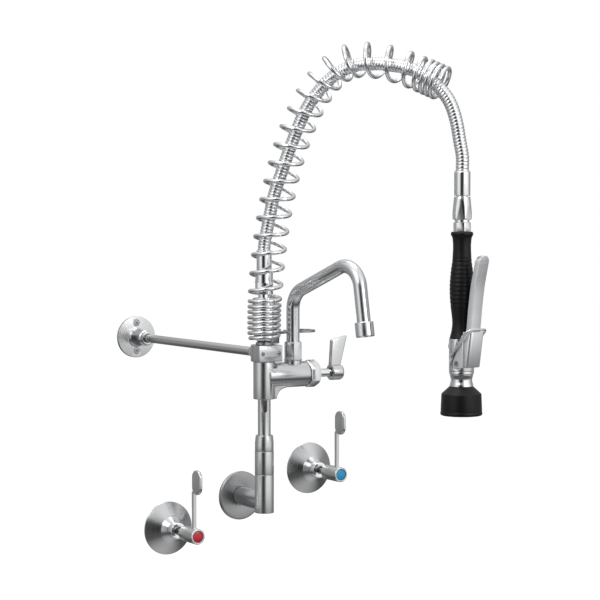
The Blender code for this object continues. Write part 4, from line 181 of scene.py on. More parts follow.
def moulded(name, colour, roughness, grain, depth):
    """Moulded rubber or plastic: a fine leathery grain whose pits are `grain` metres apart."""
    material, tree, shader = new_material(name, colour, 0, roughness)
    shader.inputs["Specular IOR Level"].default_value = 0.3
    place = add_node(tree, "ShaderNodeTexCoord")
    pits = add_node(tree, "ShaderNodeTexNoise", {"Scale": 1 / grain, "Detail": 2.0},
                    {"Vector": place.outputs["Object"]})
    cloud = add_node(tree, "ShaderNodeTexNoise", {"Scale": 60.0, "Detail": 2.0},
                     {"Vector": place.outputs["Object"]})
    tree.links.new(spread(tree, cloud, roughness - 0.06, roughness + 0.06), shader.inputs["Roughness"])
    tint = add_node(tree, "ShaderNodeMix", {"data_type": "RGBA", 6: (*[c * 0.8 for c in colour], 1),
                                            7: (*[c * 1.2 for c in colour], 1)},
                    {0: cloud.outputs["Fac"]})
    tree.links.new(tint.outputs[2], shader.inputs["Base Color"])
    bump(tree, shader, pits.outputs["Fac"], 0.5, depth)
    return material


def enamel(name, colour):
    """Index button: coloured enamel under a clear coat, a little darker in random patches."""
    material, tree, shader = new_material(name, colour, 0, 0.25)
    shader.inputs["Coat Weight"].default_value = 0.3
    shader.inputs["Coat Roughness"].default_value = 0.12
    place = add_node(tree, "ShaderNodeTexCoord")
    cloud = add_node(tree, "ShaderNodeTexNoise", {"Scale": 400.0, "Detail": 2.0},
                     {"Vector": place.outputs["Object"]})
    tint = add_node(tree, "ShaderNodeMix", {"data_type": "RGBA", 6: (*[c * 0.75 for c in colour], 1),
                                            7: (*colour, 1)}, {0: cloud.outputs["Fac"]})
    tree.links.new(tint.outputs[2], shader.inputs["Base Color"])
    return material


# ------------------------------------------------------------------ modelling helpers

def deselect():
    if bpy.context.mode != "OBJECT":
        bpy.ops.object.mode_set(mode="OBJECT")
    bpy.ops.object.select_all(action="DESELECT")


def select_only(obj):
    deselect()
    obj.select_set(True)
    bpy.context.view_layer.objects.active = obj


def draw_line(name, points):
    """Starts a mesh as a line through points, one vertex extruded to the next; stays in edit mode."""
    deselect()
    bpy.ops.mesh.primitive_plane_add(size=MM, location=(0, 0, 0))
    obj = bpy.context.object
    obj.name = name
    obj.data.name = name
    bpy.ops.object.mode_set(mode="EDIT")
    bpy.ops.mesh.select_all(action="SELECT")
    bpy.ops.mesh.merge(type="CENTER")
    bpy.ops.transform.translate(value=points[0])
    for before, after in zip(points, points[1:]):
        step = [b - a for a, b in zip(before, after)]
        bpy.ops.mesh.extrude_region_move(TRANSFORM_OT_translate={"value": step})
    return obj


def eased(points, ease, closed=False):
    """Rounds the corners of an outline of (x, y) points with small arcs."""
    result = []
    count = len(points)
    for index, corner in enumerate(points):
        if not closed and index in (0, count - 1):
            result.append(corner)
            continue
        before, after = points[index - 1], points[(index + 1) % count]
        into = Vector((corner[0] - before[0], corner[1] - before[1]))
        out = Vector((after[0] - corner[0], after[1] - corner[1]))
        if into.length < 1e-9 or out.length < 1e-9 or into.angle(out) < radians(14):
            result.append(corner)
            continue
        reach = min(ease, into.length * 0.45, out.length * 0.45)
        start = Vector(corner) - into.normalized() * reach
        end = Vector(corner) + out.normalized() * reach
        for share in (0.0, 0.33, 0.67, 1.0):
            one = start.lerp(Vector(corner), share)
            two = Vector(corner).lerp(end, share)
            result.append(tuple(one.lerp(two, share)))
    return result


def lathe(name, profile, at, direction=UP, steps=ROUND, ease=0.35, closed=False):
    """A turned piece: (radius, height) in millimetres down its outer side, spun round its axis.

    A closed profile is a ring with a bore, an open one starts and ends on the axis.
    """
    outline = eased(profile, ease, closed)
    if closed:
        outline = outline + outline[:1]
    obj = draw_line(name, [(radius * MM, 0, height * MM) for radius, height in outline])
    bpy.ops.mesh.select_all(action="SELECT")
    bpy.ops.mesh.spin(steps=steps, angle=2 * pi, center=(0, 0, 0), axis=(0, 0, 1))
    bpy.ops.mesh.select_all(action="SELECT")
    bpy.ops.mesh.remove_doubles(threshold=1e-6)
    bpy.ops.mesh.normals_make_consistent(inside=False)
    bpy.ops.object.mode_set(mode="OBJECT")
    return settle(obj, at, direction)


def slab(name, outline, thickness, at=(0, 0, 0), turn=(0, 0, 0), ease=0.0, segments=3):
    """A flat outline in millimetres, extruded to both sides of its plane, its edges eased."""
    obj = draw_line(name, [(x * MM, y * MM, -thickness / 2 * MM) for x, y in outline])
    bpy.ops.mesh.select_all(action="SELECT")
    bpy.ops.mesh.edge_face_add()
    bpy.ops.mesh.extrude_region_move(TRANSFORM_OT_translate={"value": (0, 0, thickness * MM)})
    bpy.ops.mesh.select_all(action="SELECT")
    bpy.ops.mesh.remove_doubles(threshold=1e-7)
    bpy.ops.mesh.normals_make_consistent(inside=False)
    bpy.ops.object.mode_set(mode="OBJECT")
    obj.location = at
    obj.rotation_euler = turn
    bpy.ops.object.transform_apply(location=True, rotation=True, scale=True)
    if ease:
        round_edges(obj, ease, segments)
    return obj


def settle(obj, at, direction=UP, turn=0.0):
    """Turns a piece's own +Z to a direction, moves it and writes both into its mesh."""
    select_only(obj)
    quaternion = UP.rotation_difference(direction)
    obj.rotation_mode = "QUATERNION"
    obj.rotation_quaternion = quaternion @ Euler((0, 0, turn)).to_quaternion()
    obj.location = at
    bpy.ops.object.transform_apply(location=True, rotation=True, scale=True)
    obj.rotation_mode = "XYZ"
    return obj


def round_edges(obj, width, segments=3, angle=32):
    select_only(obj)
    bevel = obj.modifiers.new("Eased edges", "BEVEL")
    bevel.width = width * MM
    bevel.segments = segments
    bevel.limit_method = "ANGLE"
    bevel.angle_limit = radians(angle)
    bevel.use_clamp_overlap = True
    bpy.ops.object.modifier_apply(modifier=bevel.name)


def shape(obj, tool, operation):
    """Cuts, joins or intersects obj with tool, and removes the tool."""
    select_only(obj)
    boolean = obj.modifiers.new("Shape", "BOOLEAN")
    boolean.operation = operation
    boolean.object = tool
    boolean.solver = "EXACT"
    bpy.ops.object.modifier_apply(modifier=boolean.name)
    bpy.data.objects.remove(tool, do_unlink=True)
    return obj


def hexagon(obj, across, low, high, at, direction, turn=0.0, ease=0.5):
    """Mills six flats between two heights of a turned piece."""
    corner = across / 2 / cos(pi / 6)
    profile = [(0, high + 60), (60, high + 60), (60, high), (corner, high), (corner, low), (60, low),
               (60, low - 60), (0, low - 60)]
    tool = draw_line("flats", [(radius * MM, 0, height * MM) for radius, height in profile])
    bpy.ops.mesh.select_all(action="SELECT")
    bpy.ops.mesh.spin(steps=6, angle=2 * pi, center=(0, 0, 0), axis=(0, 0, 1))
    bpy.ops.mesh.select_all(action="SELECT")
    bpy.ops.mesh.remove_doubles(threshold=1e-6)
    bpy.ops.mesh.normals_make_consistent(inside=False)
    bpy.ops.object.mode_set(mode="OBJECT")
    settle(tool, at, direction, turn)
    shape(obj, tool, "INTERSECT")
    if ease:
        round_edges(obj, ease, 2)
    return obj


def wire(name, points, radius, resolution=6, radii=None, cyclic=False):
    """A round bar along points in metres, converted to a mesh with welded ends."""
    curve = bpy.data.curves.new(name, "CURVE")
    curve.dimensions = "3D"
    curve.bevel_depth = radius if radii is None else 1.0
    curve.bevel_resolution = resolution
    curve.use_fill_caps = not cyclic
    curve.twist_mode = "MINIMUM"
    spline = curve.splines.new("POLY")
    spline.points.add(len(points) - 1)
    for index, point in enumerate(points):
        spline.points[index].co = (*point, 1)
        if radii is not None:
            spline.points[index].radius = radii[index]
    spline.use_cyclic_u = cyclic
    obj = bpy.data.objects.new(name, curve)
    bpy.context.collection.objects.link(obj)
    select_only(obj)
    bpy.ops.object.convert(target="MESH")
    bpy.ops.object.mode_set(mode="EDIT")
    bpy.ops.mesh.select_all(action="SELECT")
    bpy.ops.mesh.remove_doubles(threshold=1e-6)
    bpy.ops.mesh.normals_make_consistent(inside=False)
    bpy.ops.object.mode_set(mode="OBJECT")
    return bpy.context.object


def finish(obj, node, body, material, angle=35):
    """Smooths a piece, gives it its material and says which node and body it stands for."""
    select_only(obj)
    bpy.ops.object.shade_smooth_by_angle(angle=radians(angle))
    obj.data.materials.clear()
    obj.data.materials.append(material)
    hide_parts(node)
    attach(obj, body)
    return obj


def arc(centre, radius, start, end, steps):
    angles = [start + (end - start) * step / steps for step in range(steps + 1)]
    return [(centre[0] + radius * cos(angle), centre[1] + radius * sin(angle)) for angle in angles]


def on_column(height=0.0):
    return Vector((COLUMN.x, COLUMN.y, height * MM))


def on_gun(height=0.0, forward=0.0):
    return GUN_AXIS + FORWARD * forward * MM + UP * height * MM


# ------------------------------------------------------------------ settings

class FaucetFinishes(bpy.types.PropertyGroup):
    steel: FloatVectorProperty(
        name="Brushed steel", description="Colour of the satin stainless steel", subtype="COLOR",
        default=linear("#CBCCCD"), min=0, max=1)
    chrome: FloatVectorProperty(
        name="Chrome", description="Colour of the polished chrome", subtype="COLOR",
        default=linear("#E6E7E9"), min=0, max=1)
    rubber: FloatVectorProperty(
        name="Rubber", description="Colour of the grip and the bumper", subtype="COLOR",
        default=linear("#0A0A0B"), min=0, max=1)
    hot: FloatVectorProperty(
        name="Hot index", description="Colour of the hot tap's button", subtype="COLOR",
        default=linear("#D4082A"), min=0, max=1)
    cold: FloatVectorProperty(
        name="Cold index", description="Colour of the cold tap's button", subtype="COLOR",
        default=linear("#00A6E0"), min=0, max=1)


class FaucetSizes(bpy.types.PropertyGroup):
    wire: FloatProperty(
        name="Spring wire", description="Diameter of the arch spring's wire", default=0.00562,
        min=0.002, max=0.008, unit="LENGTH", precision=5)
    hose: FloatProperty(
        name="Hose", description="Diameter over the hose's ribs", default=0.0174, min=0.01,
        max=0.03, unit="LENGTH", precision=5)
    rib: FloatProperty(
        name="Rib pitch", description="Distance from one hose rib to the next", default=0.0043,
        min=0.002, max=0.01, unit="LENGTH", precision=5)
    groove: FloatProperty(
        name="Rib depth", description="Depth of the grooves between the hose's ribs",
        default=0.0011, min=0.0002, max=0.003, unit="LENGTH", precision=5)
    coil_steps: IntProperty(
        name="Coil steps", description="Points on each turn of the arch spring", default=40, min=12,
        max=96)


MATERIALS = {}


def prepare_materials():
    look = bpy.context.scene.faucet_finishes
    steel, chrome = tuple(look.steel), tuple(look.chrome)
    # Satin stainless: the lathe's or the belt's fine lines run round the piece and blur what it mirrors
    for axis in "XYZ":
        MATERIALS["steel " + axis] = brushed_steel("brushed stainless steel " + axis, steel, 0.23, axis)
    # The plates, hook, screws and tap spindles and bodies carry the same lines, darker and duller
    MATERIALS["dull steel"] = brushed_steel("blasted stainless steel", tuple(c * 0.62 for c in steel), 0.36, "Y")
    # Decorative chrome on brass: dark and white stripes of whatever stands round it
    MATERIALS["chrome"] = polished_chrome("polished chrome plate", chrome, 0.07)
    # Buffed steel, as on the spout and its nuts: no lines, soft edges to what it mirrors
    MATERIALS["satin chrome"] = polished_chrome("buffed stainless steel", tuple(c * 0.9 for c in chrome), 0.17)
    # Satin nickel under a clear lacquer: paler and softer than the chrome beside it
    MATERIALS["nickel"] = brushed_steel("satin nickel plate", tuple(min(1, c * 1.12) for c in chrome), 0.34, "Z")
    MATERIALS["brass"] = brushed_steel("machined brass", linear("#C9A45A"), 0.28, "Z")
    # Moulded nitrile rubber: near black with a soft sheen
    MATERIALS["rubber"] = moulded("moulded black rubber", tuple(look.rubber), 0.42, 0.0012, 0.00008)
    MATERIALS["plastic"] = moulded("grey acetal", linear("#4A4B50"), 0.38, 0.0020, 0.00004)
    MATERIALS["ceramic"] = moulded("glazed ceramic", linear("#D9D6CD"), 0.22, 0.0015, 0.00003)
    MATERIALS["hot"] = enamel("red enamel", tuple(look.hot))
    MATERIALS["cold"] = enamel("blue enamel", tuple(look.cold))


# ------------------------------------------------------------------ riser

class FAUCET_OT_riser(bpy.types.Operator):
    """Turns the inlet plate, elbow, sleeve, taper nut and riser tube"""
    bl_idname = "faucet.riser"
    bl_label = "Riser"

    def execute(self, context):
        steel_z, steel_y = MATERIALS["steel Z"], MATERIALS["steel Y"]
        plate = lathe("wall_plate", [(32.2, 4.5), (34, 2.8), (34, 0), (13.3, 0), (13.3, 4.5)],
                      (0, 0, 0), ROOM, FINE, 0.5, True)
        finish(plate, "inlet_plate", "base", MATERIALS["dull steel"])
        elbow = lathe("riser_elbow", [(0, 50), (10, 50), (10, 37.4), (13.15, 37.4), (13.15, -15.3), (0, -15.3)],
                      on_column(), UP, FINE, 0.6)
        pipe = lathe("inlet_pipe", [(0, 66), (13.0, 66), (13.0, 0), (0, 0)], (0, 0, 0), ROOM, FINE, 0)
        shape(elbow, pipe, "UNION")
        finish(elbow, "inlet_elbow", "base", steel_z)
        sleeve = lathe("sleeve", [(13.15, 69.6), (13.15, 37.7), (10.3, 37.7), (10.3, 69.6)],
                       on_column(), UP, FINE, 0.5, True)
        finish(sleeve, "riser_sleeve", "base", steel_z)
        nut = lathe("tapered_nut", [(11.75, 91.3), (12.9, 81.0), (12.9, 69.9), (10.3, 69.9),
                                    (10.3, 74.2), (9.1, 74.2), (9.1, 91.3)], on_column(), UP, FINE, 0.4, True)
        finish(nut, "taper_nut", "base", steel_z)
        tube = lathe("riser_pipe", [(8.8, 155), (8.8, 73.9), (10, 73.9), (10, 66.1), (6.5, 66.1),
                                    (6.5, 155)], on_column(), UP, FINE, 0.3, True)
        half, foot, top, cut_depth = 4.25, 126.25, 138.5, 1.3
        flat = [(half, foot), (half, top), (-half, top), (-half, foot)]
        flat += arc((0, foot), half, pi, 2 * pi, 12)[1:-1]
        for side in (0, pi):
            turn = radians(-32) + side
            reach = (8.8 - cut_depth + 5) * MM
            tool = slab("spanner_flat", flat, 10, on_column() + Vector((reach * sin(turn), -reach * cos(turn), 0)),
                        (pi / 2, 0, turn))
            shape(tube, tool, "DIFFERENCE")
        round_edges(tube, 0.2, 2)
        finish(tube, "riser_tube", "base", steel_z)
        return {"FINISHED"}


class FAUCET_OT_body(bpy.types.Operator):
    """Joins the faucet body's column, side arm, gusset and spout seat"""
    bl_idname = "faucet.body"
    bl_label = "Faucet body"

    def execute(self, context):
        body = lathe("cast_body", [(0, 240.1), (8, 240.1), (8, 192.1), (15, 192.1), (15, 141.0), (0, 141.0)],
                     on_column(), UP, FINE, 0.8)
        arm = lathe("side_arm", [(0, 65.4), (17.5, 65.4), (17.5, 0), (0, 0)], on_column(172.5), RIGHT, FINE, 1.6)
        shape(body, arm, "UNION")
        gusset = [(7, 141)] + arc((29, 141), 14, pi, pi / 2, 16) + [(29, 172), (7, 172)]
        shape(body, slab("gusset", gusset, 20, on_column(), (pi / 2, 0, 0), 3.0, 4), "UNION")
        seat = lathe("spout_seat", [(0, 191.6), (12, 191.6), (12, 176), (0, 176)],
                     on_column() + RIGHT * 46.2 * MM, UP, FINE, 0.4)
        shape(body, seat, "UNION")
        chamber = lathe("chamber", [(0, 67), (12.3, 67), (12.3, 40), (0, 40)], on_column(172.5), RIGHT, ROUND, 0)
        shape(body, chamber, "DIFFERENCE")
        bore = lathe("bore", [(0, 155.3), (9.1, 155.3), (9.1, 140), (0, 140)], on_column(), UP, ROUND, 0)
        shape(body, bore, "DIFFERENCE")
        finish(body, "faucet_body", "base", MATERIALS["steel Z"])
        return {"FINISHED"}


def countersunk_screw(name, radius, socket, at, direction, node):
    """A screw head with a six-sided socket."""
    head = lathe(name, [(0, 0), (radius, 0), (radius * 0.45, -3.0), (radius * 0.45, -4.6), (0, -4.6)],
                 at, direction, 48, 0.2)
    return socketed(head, socket, at, direction, node)


def socketed(head, socket, at, direction, node, body="base", depth=1.8):
    tool = lathe("socket", [(0, 1), (socket, 1), (socket, -depth), (0, -depth)], at, direction, 6, 0)
    shape(head, tool, "DIFFERENCE")
    return finish(head, node, body, MATERIALS["dull steel"])


class FAUCET_OT_bracket(bpy.types.Operator):
    """Makes the wall bracket: split clamp, rod, flange and their screws"""
    bl_idname = "faucet.bracket"
    bl_label = "Wall bracket"

    def execute(self, context):
        low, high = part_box("bracket_clamp_rear")
        foot, top = low.z / MM, high.z / MM
        middle = (foot + top) / 2
        rear = lathe("clamp_rear", [(0, top), (18.5, top), (18.5, foot), (0, foot)], on_column(), UP, FINE, 0.8)
        block = slab("front_half", [(-40, -40), (40, -40), (40, 0.15), (-40, 0.15)], 80, on_column(middle))
        shape(rear, block, "DIFFERENCE")
        cone = lathe("rod_socket", [(0, 34), (6.5, 34), (11.1, 17), (11.1, 12), (0, 12)], on_column(middle), WALL, FINE, 0.8)
        shape(rear, cone, "UNION")
        neck = lathe("neck_bore", [(0, top + 1), (8.3, top + 1), (8.3, foot - 1), (0, foot - 1)], on_column(), UP, ROUND, 0)
        shape(rear, neck, "DIFFERENCE")
        finish(rear, "bracket_clamp_rear", "base", MATERIALS["steel Z"])

        front = slab("clamp_front", [(-18.5, -18), (18.5, -18), (18.5, -0.15), (-18.5, -0.15)], top - foot,
                     on_column(middle), (0, 0, 0), 0.8)
        neck = lathe("neck_bore", [(0, top + 1), (8.3, top + 1), (8.3, foot - 1), (0, foot - 1)], on_column(), UP, ROUND, 0)
        shape(front, neck, "DIFFERENCE")
        for side, node in ((-1, "clamp_screw_left"), (1, "clamp_screw_right")):
            at = on_column(middle) + RIGHT * side * 12.7 * MM + ROOM * 18 * MM
            hole = lathe("screw_hole", [(0, 1), (2.9, 1), (2.9, -3.5), (0, -3.5)], at, ROOM, 48, 0)
            shape(front, hole, "DIFFERENCE")
            head = lathe(node + "_head", [(0, -0.4), (2.6, -0.4), (2.6, -3.2), (0, -3.2)], at, ROOM, 48, 0.25)
            socketed(head, 1.4, at, ROOM, node, depth=2.2)
        finish(front, "bracket_clamp_front", "base", MATERIALS["steel Z"])

        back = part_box("bracket_flange")[1].y
        rod_low, rod_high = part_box("bracket_rod")
        length = (rod_high.y - rod_low.y) / MM
        rod = lathe("stay_rod", [(0, length), (6.15, length), (6.15, 14.0), (4.0, 14.0), (4.0, 0), (0, 0)],
                    (0, rod_low.y, middle * MM), WALL, FINE, 0.4)
        finish(rod, "bracket_rod", "base", MATERIALS["steel Y"])
        profile = [(0, 14.7), (6.45, 14.7), (6.45, 43), (10, 43), (10, 36.8), (11.85, 35)]
        profile += arc((15.85, 9), 4, pi, 1.5 * pi, 8) + [(31.5, 5), (31.5, 0), (0, 0)]
        flange = lathe("stay_flange", profile, (0, back, middle * MM), ROOM, FINE, 0.7)
        for side, node in ((1, "flange_screw_upper"), (-1, "flange_screw_lower")):
            at = Vector((0, back, middle * MM)) + ROOM * 5 * MM + UP * side * 21.3 * MM
            hole = lathe("countersink", [(0, 1), (5.5, 1), (5.5, 0), (2.5, -3), (2.5, -6), (0, -6)], at, ROOM, 48, 0)
            shape(flange, hole, "DIFFERENCE")
            countersunk_screw(node + "_head", 5.2, 1.7, at - ROOM * 0.1 * MM, ROOM, node)
        finish(flange, "bracket_flange", "base", MATERIALS["steel Y"])
        return {"FINISHED"}


class FAUCET_OT_hook(bpy.types.Operator):
    """Bends the flat steel hook that the gun hangs on"""
    bl_idname = "faucet.hook"
    bl_label = "Gun hook"

    def execute(self, context):
        low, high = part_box("gun_hook")
        turn = radians(25.3)
        rise = (high.z - low.z) / MM - 3
        start = asin(5 / 11.5)
        foot = [(30, -5), (30, 5), (11.5 * cos(start), 5)] + arc((0, 0), 11.5, start, 2 * pi - start, 40)[1:]
        at = on_column(low.z / MM + 1.5)
        hook = slab("hook_strip", foot, 3, at, (0, 0, turn))
        step = slab("hook_step", [(27, -1.5), (30, -1.5), (30, rise + 1.5), (27, rise + 1.5)], 10, at, (pi / 2, 0, turn))
        shape(hook, step, "UNION")
        ring = arc((88.2, 0), 22.5, radians(125), radians(60) + 2 * pi, 48)
        ring += arc((88.2, 0), 15.5, radians(60) + 2 * pi, radians(125), 48)
        above = at + UP * rise * MM
        shape(hook, slab("hook_ring", ring, 3, above, (0, 0, turn)), "UNION")
        strip = [(27, -5), (69.5, -5), (69.5, 5), (27, 5)]
        shape(hook, slab("hook_arm", strip, 3, above, (0, 0, turn)), "UNION")
        neck = lathe("neck_bore", [(0, 3), (8.3, 3), (8.3, -3), (0, -3)], at, UP, ROUND, 0)
        shape(hook, neck, "DIFFERENCE")
        round_edges(hook, 0.4, 2)
        finish(hook, "gun_hook", "base", MATERIALS["dull steel"])
        return {"FINISHED"}


class FAUCET_OT_handle(bpy.types.Operator):
    """Makes the bonnet nut, spindle and flared lever handle on the side arm"""
    bl_idname = "faucet.handle"
    bl_label = "Lever handle"

    def execute(self, context):
        at = on_column(172.5)
        nut = lathe("bonnet", [(9, 86.2), (9, 84), (13.6, 84), (19.2, 80.5), (19.2, 68.6), (17.4, 66.9),
                               (14.5, 66.9), (14.5, 65.7), (12, 65.7), (12, 58.1), (6.05, 58.1), (6.05, 86.2)],
                    at, RIGHT, FINE, 0.35, True)
        hexagon(nut, 33.0, 66.9, 84.0, at, RIGHT, 0.0, 0.35)
        finish(nut, "bonnet_nut", "base", MATERIALS["satin chrome"])
        spindle = lathe("spindle", [(0, 118.0), (4, 118.0), (4, 109.0), (5.75, 109.0), (5.75, 41), (0, 41)],
                        at, RIGHT, ROUND, 0.3)
        finish(spindle, "valve_spindle", "handle", MATERIALS["chrome"])
        low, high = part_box("lever_handle")
        start, end = low.x / MM, 124.9
        hub = lathe("handle_hub", [(4.1, end), (8.0, end), (10.1, end - 0.9), (11, end - 3.0), (11, 107.4),
                                   (7.6, 107.4), (7.6, 109.4), (4.3, 109.4), (4.3, 118.3), (2.1, 118.3),
                                   (2.1, 121.7), (4.1, 121.7)], at, RIGHT, FINE, 0.35, True)
        blade = [(105.2, 6), (122.2, 6), (134.0, 50.9), (108.0, 45.5)]
        flare = slab("handle_blade", blade, 6.5, on_column(172.5), (pi / 2, 0, 0), 2.2, 5)
        clear = lathe("hub_clearance", [(0, 121.7), (2.1, 121.7), (2.1, 118.3), (4.3, 118.3), (4.3, 109.4),
                                        (7.6, 109.4), (7.6, 60), (0, 60)], at, RIGHT, ROUND, 0)
        shape(flare, clear, "DIFFERENCE")
        shape(hub, flare, "UNION")
        finish(hub, "lever_handle", "handle", MATERIALS["steel X"])
        head = lathe("handle_cap_screw", [(0, 124.6), (3.8, 124.6), (3.8, 122.0), (1.8, 122.0), (1.8, 114.6),
                                          (0, 114.6)], at, RIGHT, 48, 0.3)
        socketed(head, 1.6, at + RIGHT * 124.6 * MM, RIGHT, "handle_screw", "handle")
        return {"FINISHED"}


def rounded_path(corners, radii, steps):
    """A path through corners in a plane, with an arc of the given radius at each inner one."""
    path = [corners[0]]
    for index, radius in enumerate(radii):
        before, corner, after = [Vector(point) for point in corners[index:index + 3]]
        into, out = (corner - before).normalized(), (after - corner).normalized()
        swing = into.angle(out)
        start = corner - into * radius * tan(swing / 2)
        side = 1 if into.cross(out) > 0 else -1
        middle = start + Vector((-into.y, into.x)) * side * radius
        for step in range(steps + 1):
            spoke = start - middle
            spoke.rotate(Matrix.Rotation(side * swing * step / steps, 2))
            path.append(tuple(middle + spoke))
    path.append(corners[-1])
    return path


class FAUCET_OT_spout(bpy.types.Operator):
    """Bends the spout and turns its nut and aerator"""
    bl_idname = "faucet.spout"
    bl_label = "Spout"

    def execute(self, context):
        low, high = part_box("spout_nut")
        foot = low.z / MM
        seat = on_column() + RIGHT * 46.2 * MM
        nut = lathe("spout_hex", [(11.0, foot + 25.6), (12.7, foot + 23.8), (12.7, foot + 1.7), (12.6, foot + 1.6),
                                  (12.6, foot), (10.9, foot), (10.9, foot + 10.3), (9.4, foot + 10.3), (9.4, foot + 25.6)],
                    seat, UP, FINE, 0.3, True)
        hexagon(nut, 22.6, foot + 1.6, foot + 40, seat, UP, radians(4), 0.3)
        finish(nut, "spout_nut", "base", MATERIALS["satin chrome"])
        reach = Vector((sin(radians(6)), -cos(radians(6)), 0))
        elbow = foot + 91.1
        crown = (138.2, elbow + 138.2 * tan(radians(21)))
        lean = radians(9.3)
        down = (sin(lean), -cos(lean))
        end = (crown[0] + 92.5 * down[0], crown[1] + 92.5 * down[1])
        path = rounded_path([(0, foot), (0, elbow), crown, end], (30, 32), 24)
        points = [seat + reach * out * MM + UP * up * MM for out, up in path]
        pipe = wire("swan_tube", points, 9.1 * MM, 14)
        finish(pipe, "spout_tube", "spout", MATERIALS["satin chrome"])
        tip = (crown[0] + 105.0 * down[0], crown[1] + 105.0 * down[1])
        at = seat + reach * tip[0] * MM + UP * tip[1] * MM
        along = -(reach * down[0] + UP * down[1])
        housing = lathe("aerator_shell", [(11.4, 19.5), (12.4, 18.5), (12.4, 0.8), (11.9, 0), (10.9, 0), (10.9, 8.1),
                                          (9.4, 8.1), (9.4, 19.5)], at, along, FINE, 0.4, True)
        finish(housing, "aerator_housing", "spout", MATERIALS["satin chrome"])
        insert = lathe("aerator_screen", [(0, 7.8), (10.6, 7.8), (10.6, 1.8), (8.8, 1.8), (8.3, 2.8), (0, 2.8)],
                       at, along, ROUND, 0.2)
        finish(insert, "aerator_insert", "spout", MATERIALS["plastic"])
        return {"FINISHED"}


class FAUCET_OT_plug(bpy.types.Operator):
    """Turns the spring plug and the fittings at the hose's foot"""
    bl_idname = "faucet.plug"
    bl_label = "Spring plug and hose foot"

    def execute(self, context):
        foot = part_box("spring_plug")[0].z / MM
        plug = lathe("plug", [(8, foot + 73.4), (8, foot + 60.4), (15.5, foot + 60.4), (15.5, foot + 52.4),
                              (16.4, foot + 52.4), (16.4, foot + 13.4), (9.3, foot), (8.3, foot), (8.3, foot + 21.8),
                              (5, foot + 21.8), (5, foot + 73.4)], on_column(), UP, FINE, 0.5, True)
        finish(plug, "spring_plug", "boom", MATERIALS["chrome"])
        nut = lathe("hose_nut", [(12, 316), (12, 304), (12.7, 299.5), (12.7, 285), (11.7, 284), (8.3, 284),
                                 (8.3, 292.3), (5, 292.3), (5, 305.7), (8.3, 305.7), (8.3, 316)],
                    on_column(), UP, FINE, 0.3, True)
        hexagon(nut, 22.2, 283.5, 299.5, on_column(), UP, ARCH_TURN + radians(10), 0.3)
        finish(nut, "hose_lower_nut", "boom", MATERIALS["chrome"])
        ferrule = lathe("hose_foot_ferrule", [(9.3, 344), (10.3, 343), (10.3, 316.3), (8, 316.3), (8, 306),
                                              (4.5, 306), (4.5, 337.7), (9.0, 337.7), (9.0, 344)],
                        on_column(), UP, FINE, 0.4, True)
        finish(ferrule, "hose_lower_ferrule", "boom", MATERIALS["chrome"])
        return {"FINISHED"}


# ------------------------------------------------------------------ hose and spring, in the arch's plane

def on_arch(out, up, aside=0.0):
    """A point of the arch's plane as a place in the room; all in millimetres."""
    ahead = Vector((cos(ARCH_TURN), sin(ARCH_TURN), 0))
    across = Vector((-sin(ARCH_TURN), cos(ARCH_TURN), 0))
    return COLUMN + (ahead * out + across * aside + UP * up) * MM


class Path:
    """A polyline in the arch's plane that is read by the length along it, in millimetres."""

    def __init__(self, points):
        self.points = [Vector(point) for point in points]
        self.lengths = [0.0]
        for before, after in zip(self.points, self.points[1:]):
            self.lengths.append(self.lengths[-1] + (after - before).length)
        self.length = self.lengths[-1]
        self.index = 0

    def at(self, distance):
        while self.index > 0 and self.lengths[self.index] > distance:
            self.index -= 1
        while self.index < len(self.points) - 2 and self.lengths[self.index + 1] < distance:
            self.index += 1
        index = self.index
        share = (distance - self.lengths[index]) / (self.lengths[index + 1] - self.lengths[index])
        return self.points[index].lerp(self.points[index + 1], share)

    def direction(self, distance):
        low, high = self.at(max(0.0, distance - 2)), self.at(min(self.length, distance + 2))
        return (high - low).normalized()


def bezier(corners, share):
    rest = 1 - share
    weights = (rest ** 3, 3 * rest * rest * share, 3 * rest * share * share, share ** 3)
    return tuple(sum(weight * corner[axis] for weight, corner in zip(weights, corners)) for axis in (0, 1))


PLUG_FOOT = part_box("spring_plug")[0].z / MM
GUN_OUT = (GUN_AXIS - COLUMN).length / MM
GUN_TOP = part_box("gun_ferrule")[1].z / MM
# The hose's route as (out along the arch, up from the plug's foot)
HOSE_ROUTE = ((1.0, 136), (4.6, 154), (9.4, 176), (15.2, 200), (26.2, 230), (44, 275), (64.5, 317),
              (89, 346), (110, 361.7), (136.5, 371.3), (166, 372.4), (187, 370), (209, 365.5), (230, 357),
              (255, 337.5), (269, 319), (277.5, 295.5), (282.6, 269))


def spine():
    """The arch's centre line, two Bezier curves that meet at the crown."""
    start, apex = (0, PLUG_FOOT + 37.4), (141, PLUG_FOOT + 378.4)
    mouth = (260, PLUG_FOOT + 343.4)
    lean, dip = radians(2.4), radians(23)
    rise = (start, (192 * sin(lean), start[1] + 192 * cos(lean)), (apex[0] - 73.6, apex[1]), apex)
    fall = (apex, (apex[0] + 44, apex[1]), (mouth[0] - 41 * cos(dip), mouth[1] + 41 * sin(dip)), mouth)
    points = [(0, PLUG_FOOT + 5.4), start]
    points += [bezier(rise, step / 240) for step in range(1, 241)]
    points += [bezier(fall, step / 240) for step in range(1, 241)]
    return Path(points)


